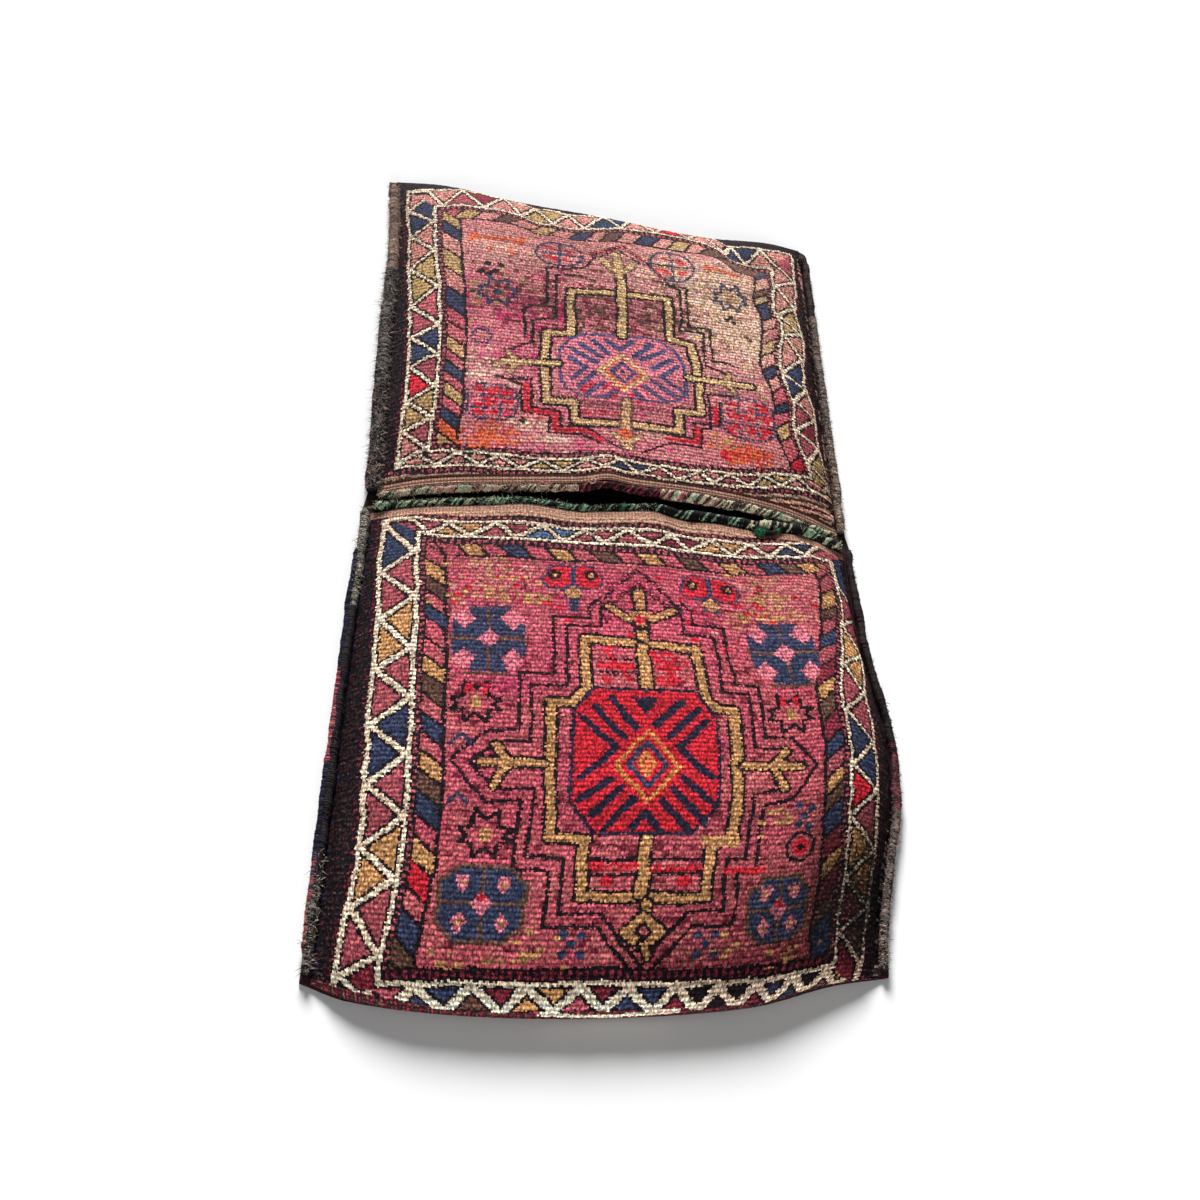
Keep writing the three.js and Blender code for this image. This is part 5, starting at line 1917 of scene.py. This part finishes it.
# Its cross stripes, the dark bridge between the mouths, its overcast edge, and the spread of its colours.
BACK_STRIPES = [(0.010, "maroon"), (0.004, "navy"), (0.012, "rose"), (0.003, "ivory"), (0.010, "maroon"),
                (0.005, "brown"), (0.004, "navy")]
BRIDGE_HALF = 0.05
BRIDGE_YARNS = "hair soot brown soot hair wine"
BACK_EDGE, BACK_EDGE_YARNS = 0.014, "wine hair"
BACK_GRAIN = 0.14


def back_grid():
    """The x and y of the back's points, in rows from the near fold to the far one."""
    lower = back_edges(LOWER, np.linspace(1, 0, int(LOWER.length / BACK_ROW_LENGTH)))
    upper = back_edges(UPPER, np.linspace(0, 1, int(UPPER.length / BACK_ROW_LENGTH)))
    left, right = [np.concatenate([lower[side], upper[side]], axis=1)[:, :, None] for side in (0, 1)]
    share = np.linspace(0, 1, BACK_COLUMNS + 1)
    x, y = left + (right - left) * share
    lack = np.clip(BACK_ROUND - (y[-1] - y), 0, BACK_ROUND)
    x = x - share * (BACK_ROUND - np.sqrt(BACK_ROUND ** 2 - lack ** 2)) * BACK_ROUND_SHARE
    near = np.linspace(1, 0, len(y))[:, None] ** BACK_END_POWER
    far = np.linspace(0, 1, len(y))[:, None] ** BACK_END_POWER
    place = (x - x[:, :1]) / (x[:, -1:] - x[:, :1])
    y = y + near * (LOWER.fold_edge(place[0]) + BACK_TUCK - y[0])
    y = y + far * (UPPER.fold_edge(place[-1]) - BACK_TUCK - y[-1])
    return x, y


def back_yarns(x, y):
    """The yarn of each cell of the back."""
    middle_x, middle_y = [(line[:-1, :-1] + line[1:, 1:]) / 2 for line in (x, y)]
    ends = np.cumsum([length for length, _ in BACK_STRIPES])
    yarns = yarn_rows(" ".join(yarn for _, yarn in BACK_STRIPES))
    stripe = yarns[np.clip(np.searchsorted(ends, middle_y % ends[-1]), 0, len(yarns) - 1)]
    row = np.arange(len(y) - 1)[:, None]
    bridge, edge = yarn_rows(BRIDGE_YARNS), yarn_rows(BACK_EDGE_YARNS)
    stripe = np.where(np.abs(middle_y) < BRIDGE_HALF, bridge[row % len(bridge)], stripe)
    from_side = np.minimum(middle_x - x[:-1, :1], x[:-1, -1:] - middle_x)
    from_fold = np.minimum(middle_y - y[0, :-1], y[-1, :-1] - middle_y)
    return np.where(np.minimum(from_side, from_fold) < BACK_EDGE, edge[row % len(edge)], stripe)


def make_back(material, rng):
    """The flat-woven back: a closed sheet in cross stripes, ribbed on both sides."""
    x, y = back_grid()
    rows, columns = x.shape[0] - 1, x.shape[1] - 1
    rib = np.where(np.arange(rows + 1) % 2, BACK_RIB, -BACK_RIB)[:, None]
    rib = rib + rng.normal(0, BACK_JITTER, x.shape)
    top = np.stack([x, y, BACK_TOP + rib], axis=-1) + SHIFT
    bottom = np.stack([x, y, BACK_BOTTOM - np.minimum(rib, BACK_BOTTOM_RIB)], axis=-1) + SHIFT
    faces = grid_faces(rows, columns) + grid_faces(rows, columns, x.size, True)
    index = np.arange(x.size).reshape(x.shape)
    loop = np.concatenate([index[0, :-1], index[:-1, -1], index[-1, :0:-1], index[:0:-1, 0]])
    ahead = np.roll(loop, -1)
    faces += np.stack([loop, loop + x.size, ahead + x.size, ahead], axis=-1).tolist()
    yarns = back_yarns(x, y)
    colour = (DYES[yarns] * np.exp(rng.normal(0, BACK_GRAIN, yarns.shape))[..., None]).reshape(-1, 3)
    edge = np.tile(DYES[YARN_ROW["soot"]], (len(loop), 1))
    vertices = np.concatenate([top.reshape(-1, 3), bottom.reshape(-1, 3)])
    return new_piece("flatwoven_back", vertices, faces, material, np.concatenate([colour, colour, edge]))


# The camera's place in the pouch formula's own frame, and its turns in degrees and their axes.
CAMERA_PLACE = (-0.17278, -1.06212, 1.2402)
CAMERA_TURNS = ((-10.0, "Z"), (38.0, "X"), (12.1, "Z"))
CAMERA_LENS, CAMERA_SENSOR, CAMERA_NEAR = 44.85, 36.0, 0.01


def place_camera():
    """The camera, at the photograph's angle."""
    camera = bpy.data.objects.new("camera", bpy.data.cameras.new("camera"))
    camera.data.lens = CAMERA_LENS
    camera.data.sensor_width = CAMERA_SENSOR
    camera.data.clip_start = CAMERA_NEAR
    camera.matrix_world = Matrix.Translation(SHIFT + CAMERA_PLACE)
    for degrees, axis in CAMERA_TURNS:
        camera.matrix_world = camera.matrix_world @ Matrix.Rotation(math.radians(degrees), 4, axis)
    bpy.context.scene.collection.objects.link(camera)
    bpy.context.scene.camera = camera


# The soft lights: where each comes from, its strength and its breadth in degrees; the surround's strength.
LIGHTS = {
    "key": {"from": (-0.12, 1.0, 0.47), "strength": 7.3, "breadth": 18.0},
    "fill": {"from": (0.1, -1.0, 0.17), "strength": 2.8, "breadth": 30.0},
}
SURROUND = 0.12
WHITE = (1, 1, 1, 1)


def light_studio():
    """A broad soft light from beyond the far end, a weak one from the near end, and a white surround."""
    for name, facts in LIGHTS.items():
        light = bpy.data.objects.new(name, bpy.data.lights.new(name, "SUN"))
        light.data.energy = facts["strength"]
        light.data.angle = math.radians(facts["breadth"])
        light.rotation_euler = Vector(facts["from"]).to_track_quat("Z", "Y").to_euler()
        bpy.context.scene.collection.objects.link(light)
    world = bpy.data.worlds.new("surround")
    bpy.context.scene.world = world
    world.use_nodes = True
    tree = world.node_tree
    surround = tree.nodes["Background"]
    set_inputs(surround, Color=WHITE, Strength=SURROUND)
    seen = new_node(tree, "Background", Color=WHITE)
    ray = new_node(tree, "LightPath")
    mix = new_node(tree, "MixShader")
    tree.links.new(ray.outputs["Is Camera Ray"], mix.inputs[0])
    tree.links.new(surround.outputs["Background"], mix.inputs[1])
    tree.links.new(seen.outputs["Background"], mix.inputs[2])
    tree.links.new(mix.outputs["Shader"], tree.nodes["World Output"].inputs["Surface"])


# The floor: half its side, how far it lies below the bag, and its finish, which looks white where it is lit.
FLOOR_HALF = 6.0
FLOOR_DROP = 0.0002
FLOOR_FINISH = {"Base_Color": (0.83, 0.83, 0.83, 1), "Roughness": 0.95, "Specular_IOR_Level": 0.0}


def lay_floor():
    """A plain pale floor."""
    material = bpy.data.materials.new("floor_white")
    material.use_nodes = True
    set_inputs(material.node_tree.nodes["Principled BSDF"], **FLOOR_FINISH)
    corners = [(a * FLOOR_HALF, b * FLOOR_HALF, -FLOOR_DROP) for a, b in ((-1, -1), (1, -1), (1, 1), (-1, 1))]
    new_piece("floor", corners, [[0, 1, 2, 3]], material)


def dress(piece, slot, *nodes):
    """A piece rides on the bag and stands for its solids; the slot is not used."""
    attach(piece, "root")
    if nodes:
        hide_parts(*nodes)


# The seed of what is random outside the faces, and the rows of cells in each face.
BAG_SEED = 7
LOWER_ROWS, UPPER_ROWS = 320, 280
# Each slot's wool: its grain to the metre, or none for knots, the depth of its bump, roughness and shine.
WOOLS = {
    "pile": ("wool_pile", None, 0.0007, 0.8, 0.06),
    "flatweave": ("flat_weave", 700, 0.0004, 0.85, 0.08),
    "goat_hair": ("goat_hair", 1300, 0.0003, 0.75, 0.12),
    "wrapping": ("wrapped_yarn", 1100, 0.0003, 0.8, 0.1),
}


def build_bag():
    """All pieces of the bag."""
    rng = np.random.default_rng(BAG_SEED)
    wool = {slot: yarn_material(*facts) for slot, facts in WOOLS.items()}
    back = make_back(wool["flatweave"], rng)
    dress(back, "flatweave", "back_panel")
    for pouch, loom, ageing_and_painted_light in (
            (LOWER, weave_lower(LOWER_ROWS), (LOWER_WASHES_AND_SHADE, LOWER_PAINTED_SHADE_AND_LIGHT, LOWER_WEAR)),
            (UPPER, weave_upper(UPPER_ROWS), (UPPER_WASHES_AND_SHEEN, UPPER_PAINTED_SHADE, UPPER_WEAR))):
        face = make_face(pouch, loom, ageing_and_painted_light, wool["pile"])
        dress(face, "pile", f"{pouch.name}_face")
        for seam in SEAMS:
            if seam.pouch is pouch:
                dress(make_seam(seam, wool["goat_hair"], rng), "goat_hair", f"{seam.label}_seam")
        dress(make_binding(pouch, wool["wrapping"], rng), "wrapping", f"{pouch.name}_mouth_binding")
        dress(make_margin(pouch, wool["flatweave"], rng), "flatweave")
    dress(make_seam_hairs(wool["goat_hair"], rng), "goat_hair")
    dress(make_mouth_hairs(wool["wrapping"], rng), "wrapping")
    loop, route = make_slack_loop(wool["wrapping"], rng)
    dress(loop, "wrapping")
    for thread in make_threads(wool["wrapping"], rng):
        dress(thread, "wrapping")


build_bag()
place_camera()
light_studio()
lay_floor()
bpy.context.scene.view_settings.view_transform = "Standard"
